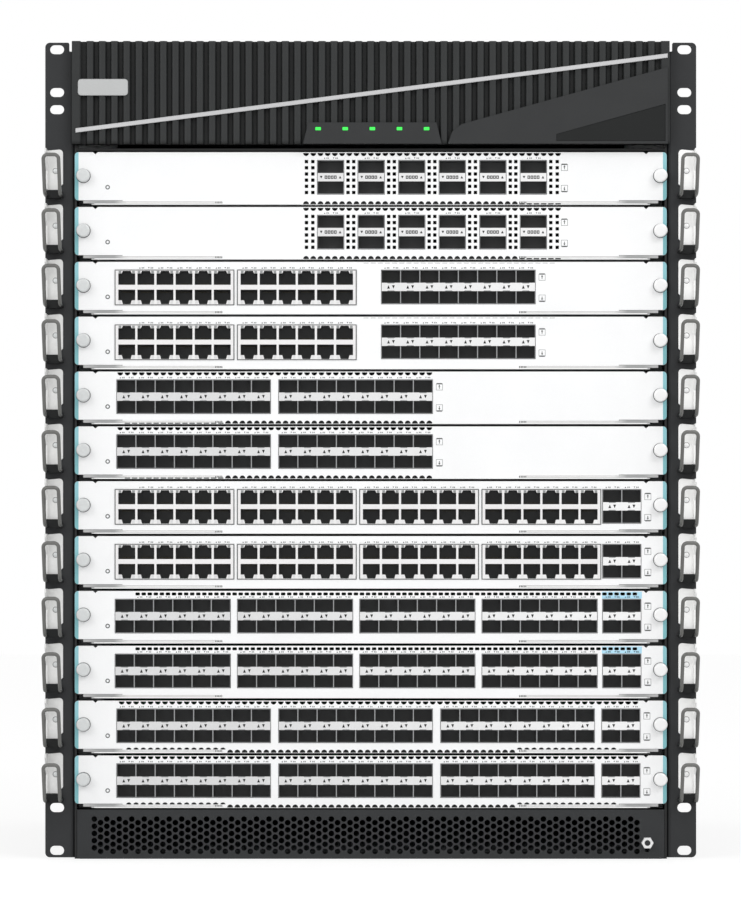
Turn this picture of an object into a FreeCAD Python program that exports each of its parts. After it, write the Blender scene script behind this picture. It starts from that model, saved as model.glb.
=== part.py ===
"""Modular chassis switch: a 19-inch rack chassis with twelve hot-swap line cards.

Frame: +X to the right seen from the front, +Y to the back, +Z up, millimetres.
The origin is the middle of the base of the overall box. Every sub-part is drawn
in a local frame whose y = 0 is the front face of the rack ears, and its
Placement carries it back to the shared frame.
"""
import FreeCAD, Part
import math
import os
import re
import Sketcher

Vector = FreeCAD.Vector

# ---------------------------------------------------------------------------
# Driving dimensions, in millimetres. Each alias is one cell of the sheet.
# ---------------------------------------------------------------------------
DRIVING = (
    # rack ears
    ("rack_width", 482.6),
    ("body_width", 443.0),
    ("ear_thickness", 2.0),
    ("ear_low", 1.0),
    ("ear_wing_depth", 60.0),
    ("ear_corner_cut", 2.6),
    ("ear_fold_cut", 1.2),
    ("ear_relief_width", 4.0),
    ("ear_relief_height", 6.6),
    ("slot_spacing", 465.1),
    ("slot_length", 10.4),
    ("slot_width", 6.8),
    ("slot_margin", 5.1375),
    ("slot_step_near", 31.75),
    ("slot_step_far", 44.45),
    # sheet steel chassis
    ("body_depth", 480.0),
    ("shell_wall", 1.6),
    ("seam", 0.1),
    ("shell_set_down", 1.0),
    ("cage_low", 36.6),
    ("cell_pitch", 40.64),
    ("card_count", 12),
    ("shelf_gap", 0.6),
    ("bezel_gap", 4.72),
    ("rail_width", 18.0),
    ("rail_thickness", 1.8),
    ("rail_clearance", 0.3),
    ("screw_rail_width", 9.5),
    ("screw_rail_back", 21.0),
    # card: faceplate and tray
    ("seat_gap", 0.3),
    ("face_thickness", 1.5),
    ("face_side_gap", 0.2),
    ("face_top_gap", 0.14),
    ("tray_gap", 0.6),
    ("tray_thickness", 1.4),
    ("tray_half_width", 207.0),
    ("tray_depth", 395.0),
    ("tray_wall_thickness", 1.2),
    ("tray_wall_start", 22.0),
    ("knob_inset", 5.5),
    ("knob_radius", 5.65),
    ("knob_length", 6.0),
    # ejector lever
    ("pivot_inset", 15.5),
    ("pivot_back", 7.0),
    ("lever_gap", 0.2),
    ("lever_sheet", 1.0),
    ("lever_head_thickness", 1.9),
    ("lever_hub_radius", 6.0),
    ("lever_claw_reach", 9.0),
    ("lever_head_length", 20.0),
    ("lever_length", 91.0),
    ("lever_tip_gap", 1.2),
    ("lever_set_back", 0.3),
    ("lever_head_gap", 0.3),
    # port board
    ("board_thickness", 1.6),
    ("board_side_gap", 0.2),
    ("board_front", 6.0),
    ("board_back_gap", 2.0),
    ("block_low", 8.8),
    ("block_height", 24.9),
    ("block_proud", 0.4),
    ("strip_thickness", 1.0),
    ("strip_height", 4.6),
    ("block_clearance", 0.25),
    ("block_rim", 0.35),
    ("copper_width", 12.5),
    ("copper_pitch", 14.15),
    ("copper_margin", 2.4),
    ("copper_depth", 14.0),
    ("optical_width", 13.3),
    ("optical_pitch", 14.28),
    ("optical_depth", 44.0),
    ("quad_width", 18.9),
    ("quad_pitch", 30.05),
    ("cage_wall", 2.0),
    ("plug_row_height", 18.0),
    ("plug_row_depth", 14.0),
    ("plug_row_half_width", 150.0),
    ("sink_height", 15.0),
    ("sink_width", 90.0),
    ("sink_depth", 60.0),
    ("group_pitch_six", 90.6),
    ("group_pitch_eight", 120.1),
    ("group_start", 189.4),
    ("uplink_start", 171.8),
    ("mixed_optical_start", 7.9),
    ("quad_start", 39.5),
    # backplane and rear panel
    ("backplane_thickness", 3.0),
    ("socket_depth", 3.5),
    ("plug_gap", 0.3),
    ("rear_thickness", 1.6),
    ("rear_flange", 12.0),
    ("vent_width", 380.0),
    ("vent_height", 12.0),
    ("vent_pitch", 30.0),
    ("vent_low", 340.0),
    ("inlet_width", 31.0),
    ("inlet_height", 24.0),
    ("inlet_pitch", 90.0),
    ("inlet_centre_z", 120.0),
    ("inlet_depth", 18.0),
    # top bezel and its trims
    ("bezel_half_width", 221.0),
    ("bezel_height", 76.0),
    ("bezel_valley", 5.0),
    ("bezel_crest", 9.0),
    ("bezel_wall", 2.5),
    ("rib_count", 47),
    ("rib_span", 415.0),
    ("rib_root_width", 6.0),
    ("rib_crest_width", 4.4),
    ("rib_end_land", 6.6),
    ("stripe_width", 3.2),
    ("stripe_thickness", 1.2),
    ("stripe_low", 11.0),
    ("stripe_high", 66.5),
    ("trim_inset", 1.6),
    ("bezel_back_inset", 4.7),
    ("panel_thickness", 1.6),
    ("indicator_base_width", 102.3),
    ("indicator_top_width", 94.6),
    ("indicator_height", 15.6),
    ("indicator_offset", 1.2),
    ("lamp_width", 4.4),
    ("lamp_height", 2.6),
    ("lamp_pitch", 20.03),
    ("lamp_low", 9.7),
    ("lamp_depth", 0.8),
    ("wedge_start", 57.0),
    ("wedge_shoulder", 67.0),
    ("wedge_shoulder_height", 14.3),
    ("wedge_knee", 60.3),
    ("wedge_knee_height", 8.9),
    ("wedge_side_height", 56.4),
    ("wedge_inset_start", 137.0),
    ("wedge_inset_low", 1.8),
    ("wedge_inset_step", 5.2),
    ("wedge_inset_height", 29.4),
    ("wedge_inset_depth", 0.6),
    # lower air intake
    ("intake_half_width", 217.6),
    ("intake_thickness", 1.5),
    ("intake_flange", 24.0),
    ("intake_top_gap", 0.2),
    ("intake_rows", 2),
    ("intake_columns", 17),
    ("intake_cell", 20.0),
    ("intake_cell_height", 11.5),
    ("intake_pitch", 23.6),
    ("intake_shift", 3.5),
    ("intake_row_pitch", 14.5),
    ("stud_x", 205.2),
    ("stud_z", 12.0),
    ("stud_across_flats", 8.9),
    ("stud_height", 6.0),
    # cable brackets and hooks
    ("bracket_inset", 7.0),
    ("bracket_width", 12.5),
    ("bracket_sheet", 1.2),
    ("bracket_top", 42.0),
    ("bracket_height", 30.5),
    ("bracket_flange", 16.5),
    ("hook_width", 13.9),
    ("hook_bar", 2.7),
    ("hook_reach", 37.4),
    ("hook_lean_allowance", 0.25),
    ("hook_drop", 6.2),
    ("hook_height", 36.0),
    ("hook_foot_reach", 22.0),
    ("hook_foot_rise", 2.5),
    ("hook_gap", 0.3),
    ("hook_corner", 2.0),
)

# Places worked out from the driving dimensions, as formula cells of the sheet.
WORKED_OUT = (
    ("rack_half", "rack_width / 2"),
    ("bracket_centre", "rack_half - bracket_inset"),
    ("shell_half", "body_width / 2 - ear_thickness"),
    ("shell_inner", "shell_half - shell_wall"),
    ("deck_half", "shell_inner - seam"),
    ("rail_front", "screw_rail_back + shell_wall + seam"),
    ("rail_top", "cage_low + tray_gap - rail_clearance"),
    ("cage_top", "cage_low + card_count * cell_pitch + shelf_gap"),
    ("bezel_low", "cage_low + card_count * cell_pitch + bezel_gap"),
    ("total_height", "bezel_low + bezel_height"),
    ("shell_top", "total_height - shell_set_down"),
    ("face_y", "(hook_reach - body_depth) / 2"),
    ("face_half", "shell_half - face_side_gap"),
    ("face_front", "-(seat_gap + face_thickness)"),
    ("face_top", "cell_pitch - face_top_gap"),
    ("tray_top", "tray_gap + tray_thickness"),
    ("lever_low", "tray_top + lever_gap"),
    ("arm_roof", "lever_low + lever_sheet + lever_gap"),
    ("head_roof", "lever_low + lever_head_thickness + lever_gap"),
    ("pivot_x", "shell_half - pivot_inset"),
    ("head_end", "pivot_x - lever_head_length"),
    ("tip_end", "pivot_x - lever_length"),
    ("lip_end", "tip_end - lever_tip_gap"),
    ("knob_x", "shell_half - knob_inset"),
    ("knob_z", "(head_roof + face_top) / 2"),
    ("strip_front", "face_front - block_proud"),
    ("block_front", "strip_front + strip_thickness + seam"),
    ("board_half_width", "tray_half_width - board_side_gap"),
    ("board_low", "block_low - board_thickness"),
    ("plug_back", "tray_depth + board_back_gap"),
    ("backplane_front", "plug_back + plug_gap"),
    ("panel_front", "-(bezel_crest + panel_thickness)"),
    ("hook_half", "(hook_width - hook_bar) / 2"),
)

KNOWN = [alias for alias, value in DRIVING + WORKED_OUT]

# Sides of a knob.
KNOB_SIDES = 8

doc = FreeCAD.newDocument("chassis_switch")
sheet = doc.addObject("Spreadsheet::Sheet", "sizes")


def fill_sheet():
    """Write one row for each dimension: its name, then its aliased cell."""
    row = 1
    for alias, value in DRIVING:
        sheet.set("A%d" % row, alias)
        sheet.set("B%d" % row, str(value))
        sheet.setAlias("B%d" % row, alias)
        row += 1
    for alias, formula in WORKED_OUT:
        sheet.set("A%d" % row, alias)
        sheet.set("B%d" % row, "=" + formula)
        sheet.setAlias("B%d" % row, alias)
        row += 1
    doc.recompute()


def bound(text):
    """Turn 'cell_pitch / 2' into the expression 'sizes.cell_pitch / 2'."""
    def prefix(match):
        word = match.group(0)
        return "sizes." + word if word in KNOWN else word
    return re.sub(r"[a-z][a-z_]*", prefix, text)


def number(text):
    """Value of an expression in the sheet's names."""
    return float(sheet.evalExpression(bound(text)))


# ---------------------------------------------------------------------------
# Sketch and feature helpers
# ---------------------------------------------------------------------------
def new_body(name, along_y="face_y", up="0"):
    """A body whose Placement carries the local frame into the shared one."""
    body = doc.addObject("PartDesign::Body", name)
    body.Label = name
    body.AllowCompound = True
    body.setExpression("Placement.Base.y", bound(along_y))
    body.setExpression("Placement.Base.z", bound(up))
    return body


def new_sketch(body, name, role, lift="0"):
    """Sketch on one of the body's own origin planes, lifted along its normal."""
    plane = [item for item in body.Origin.OriginFeatures if item.Role == role][0]
    sketch = body.newObject("Sketcher::SketchObject", name)
    sketch.AttachmentSupport = [(plane, "")]
    sketch.MapMode = "FlatFace"
    sketch.setExpression("AttachmentOffset.Base.z", bound(lift))
    return sketch


def front_sketch(body, name, y="0"):
    """Sketch in a plane parallel to the front: local x is X and local y is Z."""
    return new_sketch(body, name, "XZ_Plane", "-(%s)" % y)


def pin_point(sketch, geometry, position, x, y):
    """Tie one point of a sketch to two expressions."""
    for kind, text in (("DistanceX", x), ("DistanceY", y)):
        index = sketch.addConstraint(
            Sketcher.Constraint(kind, -1, 1, geometry, position, number(text)))
        sketch.setExpression("Constraints[%d]" % index, bound(text))


def add_outline(sketch, points):
    """Closed outline of straight lines through points given as expressions."""
    first = sketch.GeometryCount
    count = len(points)
    places = [Vector(number(x), number(y), 0) for x, y in points]
    for i in range(count):
        sketch.addGeometry(Part.LineSegment(places[i], places[(i + 1) % count]), False)
    for i in range(count):
        following = first + (i + 1) % count
        sketch.addConstraint(Sketcher.Constraint("Coincident", first + i, 2, following, 1))
    for i, (x, y) in enumerate(points):
        pin_point(sketch, first + i, 1, x, y)


def add_arc(sketch, x, y, radius, start, end):
    """Arc about (x, y), counter-clockwise between two angles in degrees."""
    circle = Part.Circle(Vector(number(x), number(y), 0), Vector(0, 0, 1), number(radius))
    arc = sketch.addGeometry(Part.ArcOfCircle(circle, math.radians(start), math.radians(end)), False)
    pin_point(sketch, arc, 3, x, y)
    index = sketch.addConstraint(Sketcher.Constraint("Radius", arc, number(radius)))
    sketch.setExpression("Constraints[%d]" % index, bound(radius))
    for position, angle in ((1, start), (2, end)):
        text = "%s + %s * cos(%g deg)" % (x, radius, angle)
        index = sketch.addConstraint(
            Sketcher.Constraint("DistanceX", -1, 1, arc, position, number(text)))
        sketch.setExpression("Constraints[%d]" % index, bound(text))
    return arc


def add_chain(sketch, start, start_end, points, end, end_end):
    """Straight lines from one geometry's end through points to another's end."""
    previous = (start, start_end)
    here = sketch.getPoint(start, start_end)
    for x, y in points:
        there = Vector(number(x), number(y), 0)
        line = sketch.addGeometry(Part.LineSegment(here, there), False)
        sketch.addConstraint(Sketcher.Constraint("Coincident", previous[0], previous[1], line, 1))
        pin_point(sketch, line, 2, x, y)
        previous = (line, 2)
        here = there
    last = sketch.addGeometry(Part.LineSegment(here, sketch.getPoint(end, end_end)), False)
    sketch.addConstraint(Sketcher.Constraint("Coincident", previous[0], previous[1], last, 1))
    sketch.addConstraint(Sketcher.Constraint("Coincident", last, 2, end, end_end))


def add_rectangle(sketch, left, right, low, high):
    """Rectangle between two x expressions and two y expressions."""
    add_outline(sketch, [(left, low), (right, low), (right, high), (left, high)])


def add_polygon(sketch, x, y, radius, sides):
    """Regular polygon inside a circle, with a flat side at the bottom."""
    points = []
    for i in range(sides):
        angle = -90 + 360 * (i + 0.5) / sides
        points.append(("%s + %s * cos(%g deg)" % (x, radius, angle),
                       "%s + %s * sin(%g deg)" % (y, radius, angle)))
    add_outline(sketch, points)


def add_slot(sketch, x, y, length, width):
    """Level slot centred on (x, y) with two round ends."""
    reach = "(%s - %s) / 2" % (length, width)
    right = add_arc(sketch, "%s + %s" % (x, reach), y, width + " / 2", -90, 90)
    left = add_arc(sketch, "%s - %s" % (x, reach), y, width + " / 2", 90, 270)
    add_chain(sketch, right, 2, [], left, 1)
    add_chain(sketch, left, 2, [], right, 1)


def add_pad(body, sketch, name, length, backward=True):
    """Pad. From a front sketch, backward means towards +Y."""
    pad = body.newObject("PartDesign::Pad", name)
    pad.Profile = sketch
    pad.Reversed = backward
    pad.Refine = False
    pad.setExpression("Length", bound(length))
    return pad


def add_pocket(body, sketch, name, length, forward=False):
    """Pocket. From a front sketch it cuts towards +Y unless forward is set."""
    pocket = body.newObject("PartDesign::Pocket", name)
    pocket.Profile = sketch
    pocket.Reversed = forward
    pocket.Refine = False
    pocket.setExpression("Length", bound(length))
    return pocket


def add_pattern(body, feature, name, axis, length, count):
    """Row of copies of one feature along an axis of its own sketch."""
    pattern = body.newObject("PartDesign::LinearPattern", name)
    pattern.Originals = [feature]
    pattern.Direction = (feature.Profile[0], [axis])
    pattern.Refine = False
    pattern.setExpression("Length", bound(length))
    pattern.setExpression("Occurrences", bound(count))
    body.Tip = pattern
    return pattern


def cut_edges(body, name, size, wanted):
    """Chamfer those edges of the body's tip whose middle passes a test."""
    doc.recompute()
    base = body.Tip
    names = []
    for i, edge in enumerate(base.Shape.Edges):
        if wanted(edge.CenterOfMass):
            names.append("Edge%d" % (i + 1))
    chamfer = body.newObject("PartDesign::Chamfer", name)
    chamfer.Base = (base, names)
    chamfer.setExpression("Size", bound(size))
    body.Tip = chamfer
    return chamfer


def near(a, text):
    """True if a number lies on the value of an expression."""
    return abs(a - number(text)) < 1e-4


# ---------------------------------------------------------------------------
# Chassis
# ---------------------------------------------------------------------------
def make_chassis_shell():
    """Sheet steel box: side panels, floor, roof, two decks, card and screw rails."""
    body = new_body("chassis_shell")
    sides = front_sketch(body, "side_section")
    for sign in ("-", ""):
        add_rectangle(sides, sign + "shell_inner", sign + "shell_half", "0", "shell_top")
    add_pad(body, sides, "side_panels", "body_depth")
    covers = front_sketch(body, "cover_section")
    add_rectangle(covers, "-deck_half", "deck_half", "0", "shell_wall")
    add_rectangle(covers, "-deck_half", "deck_half", "shell_top - shell_wall", "shell_top")
    add_pad(body, covers, "floor_and_roof", "body_depth")
    decks = front_sketch(body, "deck_section")
    add_rectangle(decks, "-deck_half", "deck_half", "cage_low - shell_wall", "cage_low")
    add_rectangle(decks, "-deck_half", "deck_half", "cage_top", "cage_top + shell_wall")
    add_pad(body, decks, "bay_decks", "body_depth - rear_flange - seam")
    rails = front_sketch(body, "rail_section", "rail_front")
    for sign in ("-", ""):
        add_rectangle(rails, sign + "(shell_inner - rail_width)", sign + "deck_half",
                      "rail_top - rail_thickness", "rail_top")
    first_rails = add_pad(body, rails, "first_rails", "tray_depth - rail_front")
    add_pattern(body, first_rails, "card_rails", "V_Axis",
                "(card_count - 1) * cell_pitch", "card_count")
    strips = front_sketch(body, "screw_rail_section", "screw_rail_back")
    for sign in ("-", ""):
        add_rectangle(strips, sign + "(shell_inner - screw_rail_width)", sign + "deck_half",
                      "cage_low + seam", "cage_top - seam")
    add_pad(body, strips, "screw_rails", "shell_wall")
    return body


def make_rack_ear(name, sign):
    """Folded angle: slotted front flange and a wing along the chassis side."""
    body = new_body(name)
    section = new_sketch(body, "ear_section", "XY_Plane", "ear_low")
    wing = sign + "(shell_half + ear_thickness)"
    add_outline(section, [
        (sign + "rack_half", "0"),
        (sign + "shell_half", "0"),
        (sign + "shell_half", "ear_wing_depth"),
        (wing, "ear_wing_depth"),
        (wing, "ear_thickness"),
        (sign + "rack_half", "ear_thickness"),
    ])
    add_pad(body, section, "ear_angle", "total_height - ear_low", backward=False)
    cut_edges(body, "ear_fold", "ear_fold_cut",
              lambda c: near(c.x, sign + "shell_half") and near(c.y, "0"))
    slots = front_sketch(body, "slot_outlines")
    low = "ear_low + slot_margin"
    high = "total_height - slot_margin"
    for z in (low, low + " + slot_step_near", high,
              high + " - slot_step_near", high + " - slot_step_far"):
        add_slot(slots, sign + "slot_spacing / 2", z, "slot_length", "slot_width")
    add_pocket(body, slots, "rack_slots", "ear_thickness")
    relief = front_sketch(body, "relief_outline")
    add_rectangle(relief, sign + "(shell_half - ear_thickness)",
                  sign + "(shell_half + ear_relief_width)",
                  "total_height - ear_relief_height", "total_height + ear_thickness")
    add_pocket(body, relief, "fold_relief", "ear_thickness * 3")
    cut_edges(body, "ear_corners", "ear_corner_cut",
              lambda c: near(c.x, sign + "rack_half") and near(c.y, "ear_thickness / 2")
              and (near(c.z, "ear_low") or near(c.z, "total_height")))
    return body


def make_backplane():
    """Board across the back of the cage, with a row of sockets for each card."""
    body = new_body("backplane")
    plate = front_sketch(body, "backplane_outline", "backplane_front + socket_depth")
    add_rectangle(plate, "-(shell_inner - plug_gap)", "shell_inner - plug_gap",
                  "cage_low", "cage_top")
    add_pad(body, plate, "backplane_board", "backplane_thickness")
    sockets = front_sketch(body, "socket_row", "backplane_front")
    low = "cage_low + block_low"
    add_rectangle(sockets, "-plug_row_half_width", "plug_row_half_width",
                  low, low + " + plug_row_height")
    first = add_pad(body, sockets, "first_socket_row", "socket_depth")
    add_pattern(body, first, "socket_rows", "V_Axis",
                "(card_count - 1) * cell_pitch", "card_count")
    return body


def make_rear_panel():
    """Flanged pan that closes the back, with exhaust louvres and mains inlets."""
    body = new_body("rear_panel")
    outer = front_sketch(body, "rear_outline", "body_depth - rear_flange")
    add_rectangle(outer, "-shell_inner", "shell_inner", "shell_wall", "shell_top - shell_wall")
    add_pad(body, outer, "rear_pan", "rear_flange")
    hollow = front_sketch(body, "rear_hollow", "body_depth - rear_flange")
    add_rectangle(hollow, "-(shell_inner - rear_thickness)", "shell_inner - rear_thickness",
                  "shell_wall + rear_thickness", "shell_top - shell_wall - rear_thickness")
    add_pocket(body, hollow, "pan_hollow", "rear_flange - rear_thickness")
    boss = front_sketch(body, "inlet_box", "body_depth - inlet_depth")
    add_rectangle(boss, "-(1.5 * inlet_pitch + inlet_width)", "1.5 * inlet_pitch + inlet_width",
                  "inlet_centre_z - inlet_height", "inlet_centre_z + inlet_height")
    add_pad(body, boss, "inlet_housing", "inlet_depth")
    inlet = front_sketch(body, "inlet_outline", "body_depth")
    add_rectangle(inlet, "-(1.5 * inlet_pitch + inlet_width / 2)",
                  "-(1.5 * inlet_pitch - inlet_width / 2)",
                  "inlet_centre_z - inlet_height / 2", "inlet_centre_z + inlet_height / 2")
    first_inlet = add_pocket(body, inlet, "first_inlet", "inlet_depth - 2", forward=True)
    add_pattern(body, first_inlet, "mains_inlets", "H_Axis", "3 * inlet_pitch", "4")
    louvre = front_sketch(body, "louvre_outline", "body_depth - 2 * rear_thickness")
    add_rectangle(louvre, "-vent_width / 2", "vent_width / 2", "vent_low", "vent_low + vent_height")
    first_louvre = add_pocket(body, louvre, "first_louvre", "3 * rear_thickness")
    steps = "floor((shell_top - vent_low - 3 * vent_height) / vent_pitch)"
    add_pattern(body, first_louvre, "exhaust_louvres", "V_Axis",
                steps + " * vent_pitch", steps + " + 1")
    return body


# ---------------------------------------------------------------------------
# Top bezel and trims
# ---------------------------------------------------------------------------
def make_top_bezel():
    """Moulded cover with upright ribs over the top bay."""
    body = new_body("top_bezel")
    slab = front_sketch(body, "bezel_outline")
    add_rectangle(slab, "-bezel_half_width", "bezel_half_width", "bezel_low", "total_height")
    add_pad(body, slab, "bezel_slab", "bezel_valley", backward=False)
    hollow = front_sketch(body, "bezel_hollow")
    add_rectangle(hollow, "-(bezel_half_width - bezel_back_inset)",
                  "bezel_half_width - bezel_back_inset",
                  "bezel_low + 2 * shell_wall", "total_height - 3 * shell_wall")
    add_pocket(body, hollow, "bezel_back", "bezel_valley - bezel_wall", forward=True)
    lands = new_sketch(body, "end_lands", "XY_Plane", "bezel_low")
    for sign in ("-", ""):
        add_rectangle(lands, sign + "bezel_half_width", sign + "(bezel_half_width - rib_end_land)",
                      "-bezel_crest", "-bezel_valley")
    add_pad(body, lands, "end_ribs", "bezel_height", backward=False)
    rib = new_sketch(body, "rib_section", "XY_Plane", "bezel_low")
    add_outline(rib, [
        ("-rib_span / 2 - rib_root_width / 2", "-bezel_valley"),
        ("-rib_span / 2 - rib_crest_width / 2", "-bezel_crest"),
        ("-rib_span / 2 + rib_crest_width / 2", "-bezel_crest"),
        ("-rib_span / 2 + rib_root_width / 2", "-bezel_valley"),
    ])
    first = add_pad(body, rib, "first_rib", "bezel_height", backward=False)
    add_pattern(body, first, "ribs", "H_Axis", "rib_span", "rib_count")
    return body


def make_bezel_stripe():
    """Bright strip that crosses the ribs from low left to high right."""
    body = new_body("bezel_stripe")
    outline = front_sketch(body, "stripe_outline", "-bezel_crest")
    end = "(bezel_half_width - trim_inset)"
    half = "stripe_width / 2"
    add_outline(outline, [
        ("-" + end, "bezel_low + stripe_low - " + half),
        (end, "bezel_low + stripe_high - " + half),
        (end, "bezel_low + stripe_high + " + half),
        ("-" + end, "bezel_low + stripe_low + " + half),
    ])
    add_pad(body, outline, "stripe", "stripe_thickness", backward=False)
    return body


def make_indicator_panel():
    """Small trapezoid panel on the ribs with five lamp windows."""
    body = new_body("indicator_panel")
    outline = front_sketch(body, "indicator_outline", "-bezel_crest")
    add_outline(outline, [
        ("indicator_offset - indicator_base_width / 2", "bezel_low"),
        ("indicator_offset + indicator_base_width / 2", "bezel_low"),
        ("indicator_offset + indicator_top_width / 2", "bezel_low + indicator_height"),
        ("indicator_offset - indicator_top_width / 2", "bezel_low + indicator_height"),
    ])
    add_pad(body, outline, "indicator_plate", "panel_thickness", backward=False)
    window = front_sketch(body, "lamp_outline", "panel_front")
    left = "indicator_offset - 2 * lamp_pitch"
    add_rectangle(window, left + " - lamp_width / 2", left + " + lamp_width / 2",
                  "bezel_low + lamp_low", "bezel_low + lamp_low + lamp_height")
    first = add_pocket(body, window, "first_lamp_window", "lamp_depth")
    add_pattern(body, first, "lamp_windows", "H_Axis", "4 * lamp_pitch", "5")
    return body


def make_wedge_cover():
    """Flat wedge over the lower right ribs, with a sunk darker wedge."""
    body = new_body("wedge_cover")
    outline = front_sketch(body, "wedge_outline", "-bezel_crest")
    side = "bezel_half_width - trim_inset"
    add_outline(outline, [
        ("wedge_start", "bezel_low"),
        (side, "bezel_low"),
        (side, "bezel_low + wedge_side_height"),
        ("wedge_shoulder", "bezel_low + wedge_shoulder_height"),
        ("wedge_knee", "bezel_low + wedge_knee_height"),
    ])
    add_pad(body, outline, "wedge_plate", "panel_thickness", backward=False)
    sunk = front_sketch(body, "wedge_inset_outline", "panel_front")
    inner = "bezel_half_width - 2 * trim_inset"
    low = "bezel_low + wedge_inset_low"
    add_outline(sunk, [
        ("wedge_inset_start", low),
        (inner, low),
        (inner, "bezel_low + wedge_inset_height"),
        ("wedge_inset_start", low + " + wedge_inset_step"),
    ])
    add_pocket(body, sunk, "wedge_inset", "wedge_inset_depth")
    return body


def make_intake_panel():
    """Perforated pan across the bottom bay, with the earthing nut."""
    body = new_body("intake_panel")
    plate = front_sketch(body, "intake_outline", "-intake_thickness")
    add_rectangle(plate, "-intake_half_width", "intake_half_width",
                  "0", "cage_low - intake_top_gap")
    add_pad(body, plate, "intake_plate", "intake_thickness")
    flange = front_sketch(body, "intake_flange_section")
    low = "shell_wall + seat_gap"
    high = "cage_low - shell_wall - seat_gap"
    for z in ((low, low + " + intake_thickness"), (high + " - intake_thickness", high)):
        add_rectangle(flange, "-(shell_inner - intake_thickness)", "shell_inner - intake_thickness",
                      z[0], z[1])
    add_pad(body, flange, "intake_flanges", "intake_flange")
    cell = front_sketch(body, "intake_cell_outline", "-intake_thickness")
    left = "-(intake_columns - 1) * intake_pitch / 2 - intake_shift"
    for row in range(int(number("intake_rows"))):
        z = "cage_low / 2 + (%d - (intake_rows - 1) / 2) * intake_row_pitch" % row
        add_outline(cell, [
            (left + " - intake_cell / 2", z),
            (left + " - intake_cell / 4", z + " - intake_cell_height / 2"),
            (left + " + intake_cell / 4", z + " - intake_cell_height / 2"),
            (left + " + intake_cell / 2", z),
            (left + " + intake_cell / 4", z + " + intake_cell_height / 2"),
            (left + " - intake_cell / 4", z + " + intake_cell_height / 2"),
        ])
    first = add_pocket(body, cell, "first_cells", "intake_thickness")
    add_pattern(body, first, "intake_cells", "H_Axis",
                "(intake_columns - 1) * intake_pitch", "intake_columns")
    nut = front_sketch(body, "earth_nut_outline", "-(intake_thickness + seam)")
    add_polygon(nut, "stud_x", "stud_z", "stud_across_flats / sqrt(3)", 6)
    add_pad(body, nut, "earth_nut", "stud_height - seam", backward=False)
    return body


# ---------------------------------------------------------------------------
# Cable brackets and hooks, one pair beside each card
# ---------------------------------------------------------------------------
def make_cable_brackets():
    """Small angle brackets on both ears, one pair beside each card."""
    body = new_body("cable_brackets")
    section = new_sketch(body, "bracket_section", "YZ_Plane",
                         "bracket_centre - bracket_width / 2")
    top = "cage_low + bracket_top"
    add_outline(section, [
        ("0", top),
        ("0", top + " - bracket_height"),
        ("-bracket_sheet", top + " - bracket_height"),
        ("-bracket_sheet", top + " - bracket_sheet"),
        ("-bracket_flange", top + " - bracket_sheet"),
        ("-bracket_flange", top),
    ])
    first = add_pad(body, section, "first_bracket", "bracket_width", backward=False)
    pattern = body.newObject("PartDesign::MultiTransform", "bracket_rows")
    pattern.Originals = [first]
    side = body.newObject("PartDesign::Mirrored", "across")
    plane = [item for item in body.Origin.OriginFeatures if item.Role == "YZ_Plane"][0]
    side.MirrorPlane = (plane, [""])
    up = body.newObject("PartDesign::LinearPattern", "upward")
    up.Direction = (section, ["V_Axis"])
    up.setExpression("Length", bound("(card_count - 1) * cell_pitch"))
    up.setExpression("Occurrences", bound("card_count"))
    pattern.Transformations = [side, up]
    pattern.Refine = False
    body.Tip = pattern
    return body


def hook_shape(sign):
    """One cable hook: a square bar bent from the ear out and up to an arch."""
    bar = number("hook_bar")
    centre = sign * number("bracket_centre")
    half = number("hook_half")
    corner = number("hook_corner")
    top = number("cage_low + bracket_top - hook_drop") - bar / 2
    low = number("cage_low + bracket_top - hook_height") + bar / 2
    front = bar / 2 + number("hook_lean_allowance") - number("hook_reach")
    foot = -number("hook_foot_reach")
    root = -number("hook_gap")
    root_z = low + number("hook_foot_rise")
    left = centre - half
    right = centre + half
    spine = Part.makePolygon([
        Vector(left, root, root_z),
        Vector(left, foot, low),
        Vector(left, front, top - corner),
        Vector(left + corner, front, top),
        Vector(right - corner, front, top),
        Vector(right, front, top - corner),
        Vector(right, foot, low),
        Vector(right, root, root_z),
    ])
    square = Part.makePolygon([
        Vector(left - bar / 2, root, root_z - bar / 2),
        Vector(left + bar / 2, root, root_z - bar / 2),
        Vector(left + bar / 2, root, root_z + bar / 2),
        Vector(left - bar / 2, root, root_z + bar / 2),
        Vector(left - bar / 2, root, root_z - bar / 2),
    ])
    return spine.makePipeShell([square], True, False, 1)


def make_cable_hooks():
    """Twenty-four rigid hooks in front of the brackets."""
    hooks = []
    for sign in (-1, 1):
        shape = hook_shape(sign)
        for i in range(int(number("card_count"))):
            copy = shape.copy()
            copy.translate(Vector(0, 0, i * number("cell_pitch")))
            hooks.append(copy)
    feature = doc.addObject("Part::Feature", "cable_hooks")
    feature.Label = "cable_hooks"
    feature.Shape = Part.makeCompound(hooks)
    feature.Placement.Base = Vector(0, number("face_y"), 0)
    return feature


# ---------------------------------------------------------------------------
# Line cards
# ---------------------------------------------------------------------------
# A block is (kind, columns, start expression, width expression).
def block_width(kind, columns):
    """Outer width of a block of ports as an expression."""
    if kind == "copper":
        return "(2 * copper_margin + %d * copper_pitch + copper_width)" % (columns - 1)
    if kind == "optical":
        return "(%d * optical_pitch + optical_width + 2 * block_rim)" % (columns - 1)
    return "(quad_width + 2 * block_rim)"


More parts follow.
